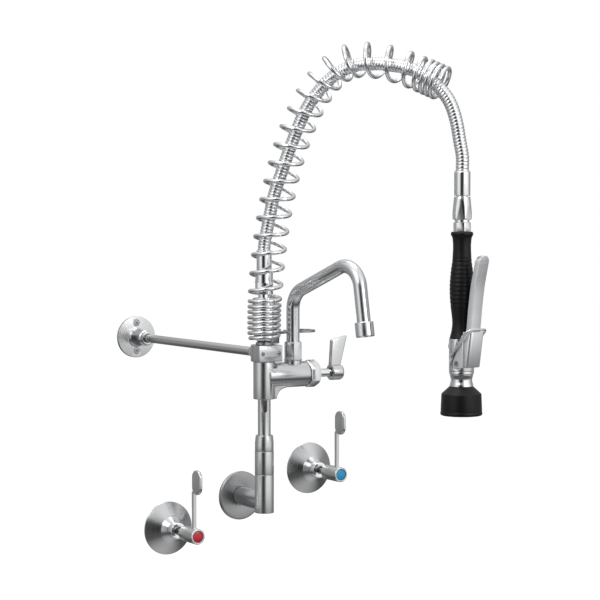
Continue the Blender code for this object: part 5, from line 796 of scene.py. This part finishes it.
def hose_path():
    ferrule_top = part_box("hose_lower_ferrule")[1].z / MM
    route = [(0, ferrule_top - 6), (0, ferrule_top)]
    route += [(out, PLUG_FOOT + rise) for out, rise in HOSE_ROUTE]
    route += [(GUN_OUT, GUN_TOP + 18), (GUN_OUT, GUN_TOP), (GUN_OUT, GUN_TOP - 6)]
    route = [Vector(point) for point in route]
    points = []
    for index in range(len(route) - 1):
        before, start = route[max(index - 1, 0)], route[index]
        end, after = route[index + 1], route[min(index + 2, len(route) - 1)]
        span = (end - start).length / 3
        first = start + (end - before).normalized() * span
        second = end - (after - start).normalized() * span
        points += [bezier((start, first, second, end), step / 12) for step in range(12)]
    return Path(points + [tuple(route[-1])])


def blend(knots, distance):
    """Straight interpolation between (distance, value) knots, held at both ends."""
    if distance <= knots[0][0]:
        return knots[0][1]
    for before, after in zip(knots, knots[1:]):
        if distance <= after[0]:
            share = (distance - before[0]) / (after[0] - before[0])
            return before[1] + share * (after[1] - before[1])
    return knots[-1][1]


class FAUCET_OT_hose(bpy.types.Operator):
    """Runs the ribbed metal hose from its foot over the arch and down to the gun"""
    bl_idname = "faucet.hose"
    bl_label = "Hose"

    def execute(self, context):
        sizes = context.scene.faucet_sizes
        path = hose_path()
        swing = joint("gun_swing")["pos_m"][2] / MM
        split = max(length for length, point in zip(path.lengths, path.points) if point.y > swing)
        parts = (("hose_over_arch", 0.0, split, "hose_arch"), ("hose_to_gun", split, path.length, "hose_drop"))
        outer, pitch, groove = sizes.hose / 2, sizes.rib / MM, sizes.groove
        for name, start, end, node in parts:
            ribs = round((end - start) / pitch)
            steps = ribs * 8
            centre, radii = [], []
            for index in range(steps + 1):
                distance = start + (end - start) * index / steps
                phase = index % 8 / 8
                point = path.at(distance)
                centre.append(on_arch(point.x, point.y))
                # Each rib is a flat band with rounded shoulders and a narrow groove at its foot
                swell = sin(pi * phase)
                radii.append(outer - 0.00012 * (1 - swell) - groove * max(0.0, 1 - 2 * swell) ** 2)
            hose = wire(name, centre, 1.0, 10, radii)
            select_only(hose)
            bpy.ops.object.shade_smooth()
            hose.data.materials.clear()
            hose.data.materials.append(MATERIALS["chrome"])
            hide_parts(node)
            if node == "hose_drop":
                top, low = path.at(split), path.at(split + 52)
                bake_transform(hose)
            else:
                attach(hose, "boom")
        return {"FINISHED"}


class FAUCET_OT_spring(bpy.types.Operator):
    """Winds the arch spring, closed at both ends and open over the arch"""
    bl_idname = "faucet.spring"
    bl_label = "Arch spring"

    def execute(self, context):
        sizes = context.scene.faucet_sizes
        line = spine()
        pitches = [(47, 7.0), (70, 24.9), (415, 24.9), (440, 30), (480, 30), (527, 7.3),
                   (line.length - 11, 7.3), (line.length, 11)]
        radii = [(0, 18.9), (7, 20.4), (47, 20.6), (70, 21.2)]
        stride = 0.05
        points = []
        turn, distance, wanted = 0.0, 0.0, 0.0
        while distance <= line.length:
            if turn >= wanted:
                centre, ahead = line.at(distance), line.direction(distance)
                angle = radians(200) + turn
                radius = blend(radii, distance)
                across, aside = radius * cos(angle), radius * sin(angle)
                points.append(on_arch(centre.x + across * ahead.y, centre.y - across * ahead.x, aside))
                wanted += 2 * pi / sizes.coil_steps
            turn += 2 * pi * stride / blend(pitches, distance)
            distance += stride
        spring = wire("coil_spring", points, sizes.wire / 2, 5)
        finish(spring, "arch_spring", "boom", MATERIALS["chrome"])
        return {"FINISHED"}


# ------------------------------------------------------------------ spray gun

class FAUCET_OT_gun_fittings(bpy.types.Operator):
    """Turns the gun's ferrule, flared swivel nut and inlet nut"""
    bl_idname = "faucet.gun_fittings"
    bl_label = "Gun fittings"

    def execute(self, context):
        ferrule = lathe("gun_hose_ferrule", [(9.6, 449.4), (10.55, 447.4), (10.55, 417.1), (7.5, 417.1),
                                             (7.5, 394.6), (9.2, 394.6), (9.2, 391.6), (4.5, 391.6),
                                             (4.5, 443.1), (9.0, 443.1), (9.0, 449.4)], on_gun(), UP, FINE, 0.4, True)
        finish(ferrule, "gun_ferrule", "gun_hose", MATERIALS["chrome"])
        nut = lathe("flared_swivel", [(10.5, 416), (12.7, 395), (12.7, 387.5), (11.3, 386.1), (9.8, 386.1),
                                      (9.8, 394.9), (7.8, 394.9), (7.8, 416)], on_gun(), UP, FINE, 0.4, True)
        hexagon(nut, 22.6, 380, 430, on_gun(), UP, GUN_TURN, 0.4)
        finish(nut, "swivel_nut", "gun", MATERIALS["chrome"])
        inlet = lathe("gun_inlet", [(9.5, 389.3), (9.5, 383), (10.4, 383), (11.4, 382), (11.4, 371.1), (4.5, 371.1),
                                    (4.5, 389.3)], on_gun(), UP, FINE, 0.3, True)
        hexagon(inlet, 20.6, 360, 383, on_gun(), UP, GUN_TURN, 0.3)
        finish(inlet, "gun_inlet_nut", "gun", MATERIALS["chrome"])
        return {"FINISHED"}


class FAUCET_OT_grip(bpy.types.Operator):
    """Moulds the rubber grip with its ribbed middle"""
    bl_idname = "faucet.grip"
    bl_label = "Grip"

    def execute(self, context):
        top = GRIP_HIGH.z / MM
        shape_of = [(0, 13.0), (1.4, 14.4), (4.2, 14.4), (7.5, 12.7), (19, 11.7), (37, 12.6), (53, 14.7),
                    (71, 15.9), (89, 15.4), (106, 13.4), (118, 12.3), (129, 13.4), (138.7, 15.8)]
        drops = [0, 0.5, 1.4, 2.8, 4.2, 5.6, 7.5] + [7.5 + 131.2 * step / 96 for step in range(1, 97)]
        outline = []
        for drop in drops:
            radius = smooth_blend(shape_of, drop)
            if 34 < drop < 96:  # finger ribs, 5.4 mm apart and 0.5 mm deep
                radius -= 0.5 * (0.5 + 0.5 * cos(2 * pi * (drop - 34) / 5.46)) ** 3
            outline.append((radius, top - drop))
        outline += [(7.3, top - 138.7), (7.3, top)]
        grip = lathe("rubber_grip", outline, on_gun(), UP, FINE, 0.2, True)
        finish(grip, "gun_grip", "gun", MATERIALS["rubber"], 45)
        return {"FINISHED"}


def smooth_blend(knots, distance):
    """Rounded interpolation between (distance, value) knots."""
    for index in range(len(knots) - 1):
        start, end = knots[index], knots[index + 1]
        if distance <= end[0]:
            before, after = knots[max(index - 1, 0)], knots[min(index + 2, len(knots) - 1)]
            span = end[0] - start[0]
            slope_in = (end[1] - before[1]) / max(end[0] - before[0], 1e-6) * span
            slope_out = (after[1] - start[1]) / max(after[0] - start[0], 1e-6) * span
            t = (distance - start[0]) / span
            return ((2 * t ** 3 - 3 * t * t + 1) * start[1] + (t ** 3 - 2 * t * t + t) * slope_in
                    + (3 * t * t - 2 * t ** 3) * end[1] + (t ** 3 - t * t) * slope_out)
    return knots[-1][1]


class FAUCET_OT_gun_body(bpy.types.Operator):
    """Mills the gun's body and turns its collar, cap, pivot screw and stem"""
    bl_idname = "faucet.gun_body"
    bl_label = "Gun body"

    def execute(self, context):
        top, foot, valve, pivot = 231.8, 189.7, 221.6, 200.1
        body = lathe("gun_casting", [(0, 228.5), (7.3, 228.5), (7.3, top), (16.4, top), (16.4, foot), (0, foot)],
                     on_gun(), UP, FINE, 0.5)
        recess = arc((5, pivot), 8, 0.75 * pi, 1.5 * pi, 16)
        recess += [(33, pivot - 8), (33, top + 1), (6, top + 1)]
        for side in (-1, 1):
            tool = slab("ear_recess", recess, 10, on_gun() + RIGHT * 0, (0, 0, 0))
            side_axis = Vector((cos(GUN_TURN), sin(GUN_TURN), 0))
            turn_flat(tool, side_axis * side * 17.6 * MM)
            shape(body, tool, "DIFFERENCE")
        seat = lathe("cap_seat", [(0, 30), (7.05, 30), (7.05, 15.5), (5.3, 15.5), (5.3, 9), (0, 9)],
                     on_gun(valve), -FORWARD, 48, 0)
        shape(body, seat, "DIFFERENCE")
        hole = lathe("stem_hole", [(0, 30), (3.3, 30), (3.3, 2), (0, 2)], on_gun(valve), FORWARD, 48, 0)
        shape(body, hole, "DIFFERENCE")
        for height, forward, radius in ((pivot, 5, 2.5), (209, -3, 1.9)):
            side_axis = Vector((cos(GUN_TURN), sin(GUN_TURN), 0))
            hole = lathe("cross_hole", [(0, 20), (radius, 20), (radius, -20), (0, -20)], on_gun(height, forward),
                         side_axis, 32, 0)
            shape(body, hole, "DIFFERENCE")
        finish(body, "gun_body", "gun", MATERIALS["chrome"])

        outline = [(16.3, 189.4), (16.3, 186.6), (15.5, 186.6)]
        outline += [(15.5 - 1.6 * sin(pi * step / 14) ** 2, 186.6 - 16.8 * step / 14) for step in range(1, 15)]
        outline += [(10.3, 169.8), (10.3, 176.1), (8, 176.1), (8, 189.4)]
        collar = lathe("waisted_collar", outline, on_gun(), UP, FINE, 0.4, True)
        finish(collar, "gun_collar", "gun", MATERIALS["chrome"])
        cap = lathe("valve_plug", [(0, 19.8), (3.4, 19.5), (5.6, 18.6), (6.75, 17.0), (6.75, 15.8), (5, 15.8),
                                   (5, 9.3), (0, 9.3)], on_gun(valve), -FORWARD, ROUND, 0.3)
        finish(cap, "valve_cap", "gun", MATERIALS["chrome"])
        side_axis = Vector((cos(GUN_TURN), sin(GUN_TURN), 0))
        for_screw = on_gun(pivot, 5)
        screw = lathe("pivot_bolt", [(0, 15.1), (3.6, 15.1), (3.6, 13.9), (2.2, 13.9), (2.2, -15.1), (0, -15.1)],
                      for_screw, -side_axis, 48, 0.25)
        socketed(screw, 1.7, for_screw - side_axis * 15.1 * MM, -side_axis, "pivot_screw", "gun", 1.0)
        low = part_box("valve_stem")
        contact = hood_front(valve - pivot) - 2.6
        stem = lathe("push_stem", [(0, contact), (2.4, contact - 0.4), (3, contact - 1), (3, 2), (4.9, 2),
                                   (4.9, -1), (1.6, -1), (1.6, -6), (0, -6)], on_gun(valve), FORWARD, 48, 0.2)
        finish(stem, "valve_stem", "stem", MATERIALS["chrome"])
        return {"FINISHED"}


def turn_flat(obj, offset):
    """Stands an outline that gives (forward of the gun's axis, height) up in the gun's own plane."""
    select_only(obj)
    obj.location = -Vector((GUN_AXIS.x, GUN_AXIS.y, 0))
    bpy.ops.object.transform_apply(location=True, rotation=True, scale=True)
    side_axis = Vector((cos(GUN_TURN), sin(GUN_TURN), 0))
    obj.matrix_world = Matrix((
        (FORWARD.x, 0, side_axis.x, GUN_AXIS.x + offset.x),
        (FORWARD.y, 0, side_axis.y, GUN_AXIS.y + offset.y),
        (0, 1, 0, offset.z),
        (0, 0, 0, 1)))
    bpy.ops.object.transform_apply(location=True, rotation=True, scale=True)
    bpy.ops.object.mode_set(mode="EDIT")
    bpy.ops.mesh.select_all(action="SELECT")
    bpy.ops.mesh.normals_make_consistent(inside=False)
    bpy.ops.object.mode_set(mode="OBJECT")


def hood_front(height):
    """How far forward the hood's front lies at a height above the pivot, in millimetres."""
    return 21.9 + (height + 4.9) * 6.8 / 46.6


def leaning_box(name, back, front, half_width, rounding, low, high):
    """An upright box, round at its two front edges, whose front leans out with the hood's."""
    outline = [(back, half_width), (back, -half_width)]
    outline += arc((front - rounding, rounding - half_width), rounding, -pi / 2, 0, 10)
    outline += arc((front - rounding, half_width - rounding), rounding, 0, pi / 2, 10)
    box = slab(name, outline, high - low, (0, 0, (low + high) / 2 * MM))
    for vertex in box.data.vertices:
        if vertex.co.x > (back + 0.01) * MM:
            vertex.co.x += (vertex.co.z / MM + 4.9) * 6.8 / 46.6 * MM
    return box


class FAUCET_OT_lever(bpy.types.Operator):
    """Makes the gun's hooded squeeze lever and its wire hold-down ring"""
    bl_idname = "faucet.lever"
    bl_label = "Squeeze lever"

    def execute(self, context):
        pivot = 200.1
        centres = [(18.0, 35.0), (20.0, 43.0), (23.2, 72.0), (27.2, 99.9), (31.8, 121.0), (36.2, 140.2)]
        fine = []
        for step in range(41):
            rise = 35 + 105.2 * step / 40
            fine.append((smooth_blend([(up, out) for out, up in centres], rise), rise))
        half = 4.3
        side = [(out + half, up) for out, up in fine]
        side += [(out - half + 0.45, up) for out, up in reversed(fine)]  # clears the pressed grip
        blade = slab("lever_blade", side, 18, (0, 0, 0), (pi / 2, 0, 0))
        front = [(-30, 33), (30, 33), (30, 131.2), (9, 131.2)] + arc((0, 131.2), 9, 0, pi, 20)[1:-1]
        front += [(-9, 131.2), (-30, 131.2)]
        mask = slab("blade_outline", front, 200, (0, 0, 0), (pi / 2, 0, pi / 2))
        shape(blade, mask, "INTERSECT")
        round_edges(blade, 1.6, 4)
        hood = leaning_box("squeeze_lever", 13.5, 21.9, 13.2, 4.5, -4.9, 41.7)
        round_edges(hood, 1.0, 3)
        shape(hood, blade, "UNION")
        cavity = leaning_box("hood_cavity", -13.5, 19.6, 10.9, 2.2, -5.9, 39.4)
        shape(hood, cavity, "DIFFERENCE")
        inner = [point for point in fine if 42 < point[1] < 137]
        channel = [(out + half - 2.4, up) for out, up in inner]
        channel += [(out - half - 1, up) for out, up in reversed(inner)]
        shape(hood, slab("blade_channel", channel, 13.2, (0, 0, 0), (pi / 2, 0, 0)), "DIFFERENCE")
        ear = arc((5, 0), 7, 0.80 * pi, 1.62 * pi, 20)
        ear += [(15.8, -4.9), (15.8, 37.1), (13.5, 37.1)]
        for side_of in (-1, 1):
            plate = slab("ear", ear, 2.5, (0, side_of * 14.15 * MM, 0), (pi / 2, 0, 0), 0.5, 3)
            shape(hood, plate, "UNION")
        hole = lathe("pivot_hole", [(0, 30), (2.5, 30), (2.5, -30), (0, -30)], (5 * MM, 0, 0), ROOM, 40, 0)
        shape(hood, hole, "DIFFERENCE")
        hole = lathe("head_seat", [(0, 30), (3.9, 30), (3.9, 13.6), (0, 13.6)], (5 * MM, 0, 0), ROOM, 40, 0)
        shape(hood, hole, "DIFFERENCE")
        # Room for the grip's foot and the body's rim when the lever is pressed
        throw = radians(joint("lever_press")["range_deg"][1])
        tilt = (5 * (1 - cos(throw)) * MM, 0, 5 * sin(throw) * MM)
        grip_foot = lathe("grip_relief", [(0, 64.7), (14.2, 64.7), (13.1, 52.7), (14.2, 41.7), (16.6, 32.0),
                                          (16.6, 30.4), (0, 30.4)], (0, 0, 0), UP, FINE, 0.3)
        rim = lathe("rim_relief", [(0, 34), (17.0, 34), (17.0, -8), (0, -8)], (0, 0, 0), UP, FINE, 0)
        shape(rim, slab("between_ears", [(-20, -12.75), (20, -12.75), (20, 12.75), (-20, 12.75)], 90), "INTERSECT")
        for tool in (grip_foot, rim):
            select_only(tool)
            tool.rotation_euler = (0, throw, 0)
            tool.location = tilt
            bpy.ops.object.transform_apply(location=True, rotation=True, scale=True)
            shape(hood, tool, "DIFFERENCE")
        settle_forward(hood, on_gun(pivot))
        finish(hood, "gun_lever", "lever", MATERIALS["nickel"])

        slope = radians(50)
        side_axis = Vector((cos(GUN_TURN), sin(GUN_TURN), 0))
        leg = 41.2
        bow = [(-15, 0), (-18, 0)] + arc((-13, leg), 5, pi, pi / 2, 10) + arc((13, leg), 5, pi / 2, 0, 10)
        bow += [(18, 0), (15, 0)]
        points = [on_gun(209, -3) + side_axis * x * MM + (FORWARD * cos(slope) + UP * sin(slope)) * reach * MM
                  for x, reach in bow]
        ring = wire("hold_down_bow", points, 1.6 * MM, 6)
        finish(ring, "hold_ring", "hold", MATERIALS["chrome"])
        return {"FINISHED"}


def settle_forward(obj, at):
    """Turns a piece's own +X to the gun's forward and moves it."""
    select_only(obj)
    obj.rotation_euler = (0, 0, GUN_TURN - pi / 2)
    obj.location = at
    bpy.ops.object.transform_apply(location=True, rotation=True, scale=True)


class FAUCET_OT_nozzle(bpy.types.Operator):
    """Moulds the rubber bumper and turns the spray face with its holes"""
    bl_idname = "faucet.nozzle"
    bl_label = "Nozzle"

    def execute(self, context):
        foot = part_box("spray_bumper")[0].z / MM
        top = foot + 37.7
        bumper = lathe("rubber_bumper", [(15.9, top), (16.6, top - 0.8), (26.1, top - 9.5), (27.0, foot + 6.2),
                                         (26.6, foot + 5.6), (27.1, foot + 5.0), (27.5, foot + 2.2),
                                         (26.8, foot + 0.7), (25.3, foot), (22.5, foot), (22.5, top - 14),
                                         (10.3, top - 14), (10.3, top)], on_gun(), UP, FINE, 0.9, True)
        finish(bumper, "spray_bumper", "gun", MATERIALS["rubber"])
        high = top - 14.3
        low = high - 11
        face = lathe("nozzle_face", [(10, high + 20), (10, high), (22.2, high), (22.2, low), (17.8, low),
                                     (16.6, low + 1.5), (0, low + 1.5)], on_gun(), UP, FINE, 0.3)
        select_only(face)
        bpy.ops.object.mode_set(mode="EDIT")
        bpy.ops.mesh.select_all(action="SELECT")
        bpy.ops.mesh.fill_holes(sides=0)
        bpy.ops.mesh.normals_make_consistent(inside=False)
        bpy.ops.object.mode_set(mode="OBJECT")
        rings = ((0, 1), (5.5, 6), (11, 12))
        for radius, count in rings:
            for index in range(count):
                angle = 2 * pi * index / count
                at = on_gun(low + 1.5) + Vector((radius * cos(angle), radius * sin(angle), 0)) * MM
                hole = lathe("jet", [(0, 1), (0.8, 1), (0.8, -1), (0, -1)], at, UP, 12, 0)
                shape(face, hole, "DIFFERENCE")
        finish(face, "spray_face", "gun", MATERIALS["plastic"])
        return {"FINISHED"}


# ------------------------------------------------------------------ wall taps

class FAUCET_OT_taps(bpy.types.Operator):
    """Makes the hot and cold wall taps with their bells, paddles and index buttons"""
    bl_idname = "faucet.taps"
    bl_label = "Wall taps"

    def execute(self, context):
        for name in ("hot", "cold"):
            low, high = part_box(name + "_escutcheon")
            at = Vector(((low.x + high.x) / 2, 0, (low.z + high.z) / 2))
            body = name + "_tap"
            bell = lathe(name + "_bell", [(11.3, 22), (18, 14), (36.5, 1.4), (36.5, 0), (34.5, 0), (17, 12),
                                          (8.8, 20), (8.8, 22)], at, ROOM, FINE, 1.2, True)
            finish(bell, name + "_escutcheon", "base", MATERIALS["steel Y"])
            collar = lathe(name + "_ring", [(10.9, 31.1), (11.2, 30.5), (11.2, 22.3), (8.8, 22.3), (8.8, 27.9),
                                            (5.6, 27.9), (5.6, 31.1)], at, ROOM, FINE, 0.4, True)
            finish(collar, name + "_tap_collar", "base", MATERIALS["chrome"])
            spindle = lathe(name + "_stem", [(0, 62), (3.6, 62), (3.6, 12), (0, 12)], at, ROOM, 48, 0.2)
            finish(spindle, name + "_tap_spindle", body, MATERIALS["dull steel"])
            foot = 50.1
            top = foot + 36
            lever = lathe(name + "_hub", [(0, top - 2.6), (7.9, top - 2.6), (7.9, top), (9.9, top),
                                          (10.5, top - 1.2), (10.5, foot), (0, foot)], at, ROOM, FINE, 0.4)
            bar_back = foot + 22
            bar = slab("bar", [(-2.5, 5), (2.5, 5), (2.5, 60), (-2.5, 60)], 5,
                       at + ROOM * (bar_back + 2.5) * MM, (pi / 2, 0, 0), 0.8, 3)
            shape(lever, bar, "UNION")
            shape(lever, paddle(at, bar_back), "UNION")
            button_seat = lathe("button_seat", [(0, top + 1), (7.9, top + 1), (7.9, top - 2.6), (0, top - 2.6)],
                                at, ROOM, FINE, 0)
            shape(lever, button_seat, "DIFFERENCE")
            hub_bore = lathe("hub_bore", [(0, foot + 12.3), (3.9, foot + 12.3), (3.9, foot - 1), (0, foot - 1)],
                             at, ROOM, 48, 0)
            shape(lever, hub_bore, "DIFFERENCE")
            finish(lever, name + "_tap_lever", body, MATERIALS["steel Y"])
            button = lathe(name + "_button", [(0, top + 0.6), (4.5, top + 0.35), (7.0, top - 0.3), (7.6, top - 0.9),
                                              (7.6, top - 2.3), (0, top - 2.3)], at, ROOM, FINE, 0.3)
            finish(button, name + "_index_button", body,
                   MATERIALS[name])
        return {"FINISHED"}


def paddle(at, bar_back):
    """The oval finger plate at the end of a tap's bar."""
    across, height, foot = 11.25, 33.0, 56.0
    middle = foot + height / 2
    straight = height / 2 - across * 0.9
    outline = []
    for step in range(48):
        angle = 2 * pi * (step + 0.5) / 48
        rise = middle + straight * (1 if sin(angle) > 0 else -1) + 0.9 * across * sin(angle)
        outline.append((bar_back + across + across * cos(angle), rise))
    plate = slab("paddle", outline, 4.8, (0, 0, 0), (0, 0, 0), 0)
    select_only(plate)
    plate.matrix_world = Matrix(((0, 0, 1, at.x), (-1, 0, 0, at.y), (0, 1, 0, at.z), (0, 0, 0, 1)))
    bpy.ops.object.transform_apply(location=True, rotation=True, scale=True)
    bpy.ops.object.mode_set(mode="EDIT")
    bpy.ops.mesh.select_all(action="SELECT")
    bpy.ops.mesh.normals_make_consistent(inside=False)
    bpy.ops.object.mode_set(mode="OBJECT")
    round_edges(plate, 1.6, 4)
    return plate


class FAUCET_OT_inner(bpy.types.Operator):
    """Gives the inner pieces, which keep their own solids, their materials"""
    bl_idname = "faucet.inner"
    bl_label = "Inner pieces"

    def execute(self, context):
        choices = {
            "check_valve": "brass", "gun_core": "brass", "hot_tap_body": "dull steel", "cold_tap_body": "dull steel",
            "valve_cartridge": "ceramic", "spout_bush": "plastic", "swivel_washer": "rubber",
            "valve_spring": "chrome",
        }
        for node, choice in choices.items():
            obj = frame["nodes"][node]
            for slot in obj.material_slots:
                slot.material = MATERIALS[choice]
        return {"FINISHED"}


# ------------------------------------------------------------------ stage

CAMERA_AZIMUTH = radians(-32)
CAMERA_ELEVATION = radians(2.8)
CAMERA_DISTANCE = 2.600
CAMERA_TARGET = Vector((0.0391, -0.0966, 0.2763))
CAMERA_LENS = 114.7


def set_background():
    """A plain white world, with the dark cards of a photographer's table seen only in reflections."""
    world = bpy.data.worlds.new("studio")
    bpy.context.scene.world = world
    world.use_nodes = True
    tree = world.node_tree
    tree.nodes.clear()
    place = add_node(tree, "ShaderNodeTexCoord")
    axes = add_node(tree, "ShaderNodeSeparateXYZ", None, {"Vector": place.outputs["Generated"]})
    bearing = add_node(tree, "ShaderNodeMath", {"operation": "ARCTAN2"}, {0: axes.outputs["X"], 1: axes.outputs["Y"]})
    turned = add_node(tree, "ShaderNodeMath", {"operation": "ADD", 1: pi + CAMERA_AZIMUTH}, {0: bearing.outputs[0]})
    wrapped = add_node(tree, "ShaderNodeMath", {"operation": "WRAP", 1: pi, 2: -pi}, {0: turned.outputs[0]})
    side = add_node(tree, "ShaderNodeMath", {"operation": "DIVIDE", 1: 2 * pi}, {0: wrapped.outputs[0]})
    share = add_node(tree, "ShaderNodeMath", {"operation": "ADD", 1: 0.5}, {0: side.outputs[0]})
    cards = add_node(tree, "ShaderNodeValToRGB", None, {"Fac": share.outputs[0]})
    ramp = cards.color_ramp
    # Place 0.5 is behind the camera; 0 and 1 are behind the faucet. Pairs of place and grey
    stops = ((0.0, 0.36), (0.13, 0.27), (0.21, 0.40), (0.26, 0.78), (0.30, 0.98), (0.40, 1.0), (0.435, 0.94),
             (0.465, 0.28), (0.495, 0.03), (0.54, 0.02), (0.575, 0.14), (0.61, 0.80), (0.65, 0.95), (0.70, 0.66),
             (0.74, 0.40), (0.80, 0.32), (1.0, 0.36))
    while len(ramp.elements) < len(stops):
        ramp.elements.new(0.5)
    for element, (where, grey) in zip(ramp.elements, stops):
        element.position = where
        element.color = (grey, grey, grey, 1)
    height = add_node(tree, "ShaderNodeMapRange", {"From Min": 0.25, "From Max": 0.85, "To Min": 0.0, "To Max": 1.0},
                      {"Value": axes.outputs["Z"]})
    roof = add_node(tree, "ShaderNodeMix", {"data_type": "RGBA", 7: (0.95, 0.95, 0.95, 1)},
                    {0: height.outputs["Result"], 6: cards.outputs["Color"]})
    depth = add_node(tree, "ShaderNodeMapRange", {"From Min": -0.12, "From Max": -0.45, "To Min": 0.0, "To Max": 1.0},
                     {"Value": axes.outputs["Z"]})
    below = add_node(tree, "ShaderNodeMapRange", {"From Min": -0.6, "From Max": -0.98, "To Min": 0.10, "To Max": 0.55},
                     {"Value": axes.outputs["Z"]})
    sky = add_node(tree, "ShaderNodeMix", {"data_type": "RGBA"},
                   {0: depth.outputs["Result"], 6: roof.outputs[2], 7: below.outputs["Result"]})
    path = add_node(tree, "ShaderNodeLightPath")
    mirrored = add_node(tree, "ShaderNodeBackground", {"Strength": 1.12}, {"Color": sky.outputs[2]})
    white = add_node(tree, "ShaderNodeBackground", {"Color": (1, 1, 1, 1), "Strength": 1.0})
    soft = add_node(tree, "ShaderNodeBackground", {"Color": (1, 1, 1, 1), "Strength": 0.40})
    seen = add_node(tree, "ShaderNodeMixShader", None, {0: path.outputs["Is Glossy Ray"], 1: soft.outputs[0],
                                                        2: mirrored.outputs[0]})
    clear = add_node(tree, "ShaderNodeMath", {"operation": "MAXIMUM"},
                     {0: path.outputs["Is Camera Ray"], 1: path.outputs["Is Transmission Ray"]})
    both = add_node(tree, "ShaderNodeMixShader", None, {0: clear.outputs[0], 1: seen.outputs[0], 2: white.outputs[0]})
    add_node(tree, "ShaderNodeOutputWorld", None, {"Surface": both.outputs[0]})


class FAUCET_OT_stage(bpy.types.Operator):
    """Sets the pale floor, soft lamps, white world and camera"""
    bl_idname = "faucet.stage"
    bl_label = "Stage"

    def execute(self, context):
        deselect()
        bpy.ops.mesh.primitive_plane_add(size=12, location=(0, 0, CAD_BOUNDS[0][2] - 0.05))
        floor = context.object
        floor.name = "floor"
        material, tree, shader = new_material("pale floor", linear("#F4F4F4"), 0, 0.9)
        path = add_node(tree, "ShaderNodeLightPath")
        glow = add_node(tree, "ShaderNodeEmission", {"Color": (1, 1, 1, 1), "Strength": 1.27})
        share = add_node(tree, "ShaderNodeMath", {"operation": "MULTIPLY", 1: 0.7}, {0: path.outputs["Is Camera Ray"]})
        mix = add_node(tree, "ShaderNodeMixShader", None, {0: share.outputs[0], 1: shader.outputs[0], 2: glow.outputs[0]})
        tree.links.new(mix.outputs[0], tree.nodes["Material Output"].inputs["Surface"])
        floor.data.materials.append(material)
        floor.visible_glossy = False  # the world's lower half stands for it in reflections
        back = Vector((sin(CAMERA_AZIMUTH) * cos(CAMERA_ELEVATION), -cos(CAMERA_AZIMUTH) * cos(CAMERA_ELEVATION),
                       sin(CAMERA_ELEVATION)))
        right = Vector((cos(CAMERA_AZIMUTH), sin(CAMERA_AZIMUTH), 0))
        lamps = (("key_lamp", back * 1.6 - right * 1.1 + UP * 1.3, 1.2, 12),
                 ("fill_lamp", back * 1.3 + right * 1.5 + UP * 0.5, 1.0, 5),
                 ("top_lamp", UP * 1.9 - back * 0.3, 1.2, 12))
        for name, offset, size, watts in lamps:
            bpy.ops.object.light_add(type="AREA", location=CAMERA_TARGET + offset)
            lamp = context.object
            lamp.name = name
            lamp.data.size = size
            lamp.data.energy = watts
            lamp.rotation_euler = (-offset).to_track_quat("-Z", "Y").to_euler()
        bpy.ops.object.camera_add(location=CAMERA_TARGET + back * CAMERA_DISTANCE)
        camera = context.object
        camera.rotation_euler = (-back).to_track_quat("-Z", "Y").to_euler()
        camera.data.lens = CAMERA_LENS
        camera.data.sensor_width = 36
        camera.data.clip_end = 50
        context.scene.camera = camera
        context.scene.view_settings.view_transform = "Standard"
        set_background()
        return {"FINISHED"}


STEPS = ("stage", "inner", "riser", "body", "bracket", "hook", "handle", "spout", "plug", "hose", "spring",
         "gun_fittings", "grip", "gun_body", "lever", "nozzle", "taps")


class FAUCET_PT_panel(bpy.types.Panel):
    bl_idname = "FAUCET_PT_panel"
    bl_label = "Pre rinse faucet"
    bl_space_type = "VIEW_3D"
    bl_region_type = "UI"
    bl_category = "Faucet"

    def draw(self, context):
        column = self.layout.column()
        for settings in (context.scene.faucet_sizes, context.scene.faucet_finishes):
            for name in settings.__annotations__:
                column.prop(settings, name)
        for step in STEPS:
            column.operator("faucet." + step)


CLASSES = (FaucetFinishes, FaucetSizes, FAUCET_OT_stage, FAUCET_OT_inner, FAUCET_OT_riser, FAUCET_OT_body,
           FAUCET_OT_bracket, FAUCET_OT_hook, FAUCET_OT_handle, FAUCET_OT_spout, FAUCET_OT_plug,
           FAUCET_OT_hose, FAUCET_OT_spring, FAUCET_OT_gun_fittings, FAUCET_OT_grip, FAUCET_OT_gun_body,
           FAUCET_OT_lever, FAUCET_OT_nozzle, FAUCET_OT_taps, FAUCET_PT_panel)


def register():
    for cls in CLASSES:
        bpy.utils.register_class(cls)
    bpy.types.Scene.faucet_finishes = PointerProperty(type=FaucetFinishes)
    bpy.types.Scene.faucet_sizes = PointerProperty(type=FaucetSizes)


def unregister():
    del bpy.types.Scene.faucet_sizes
    del bpy.types.Scene.faucet_finishes
    for cls in reversed(CLASSES):
        bpy.utils.unregister_class(cls)


def main():
    register()
    prepare_materials()
    for step in STEPS:
        getattr(bpy.ops.faucet, step)()


if __name__ == "__main__":
    main()
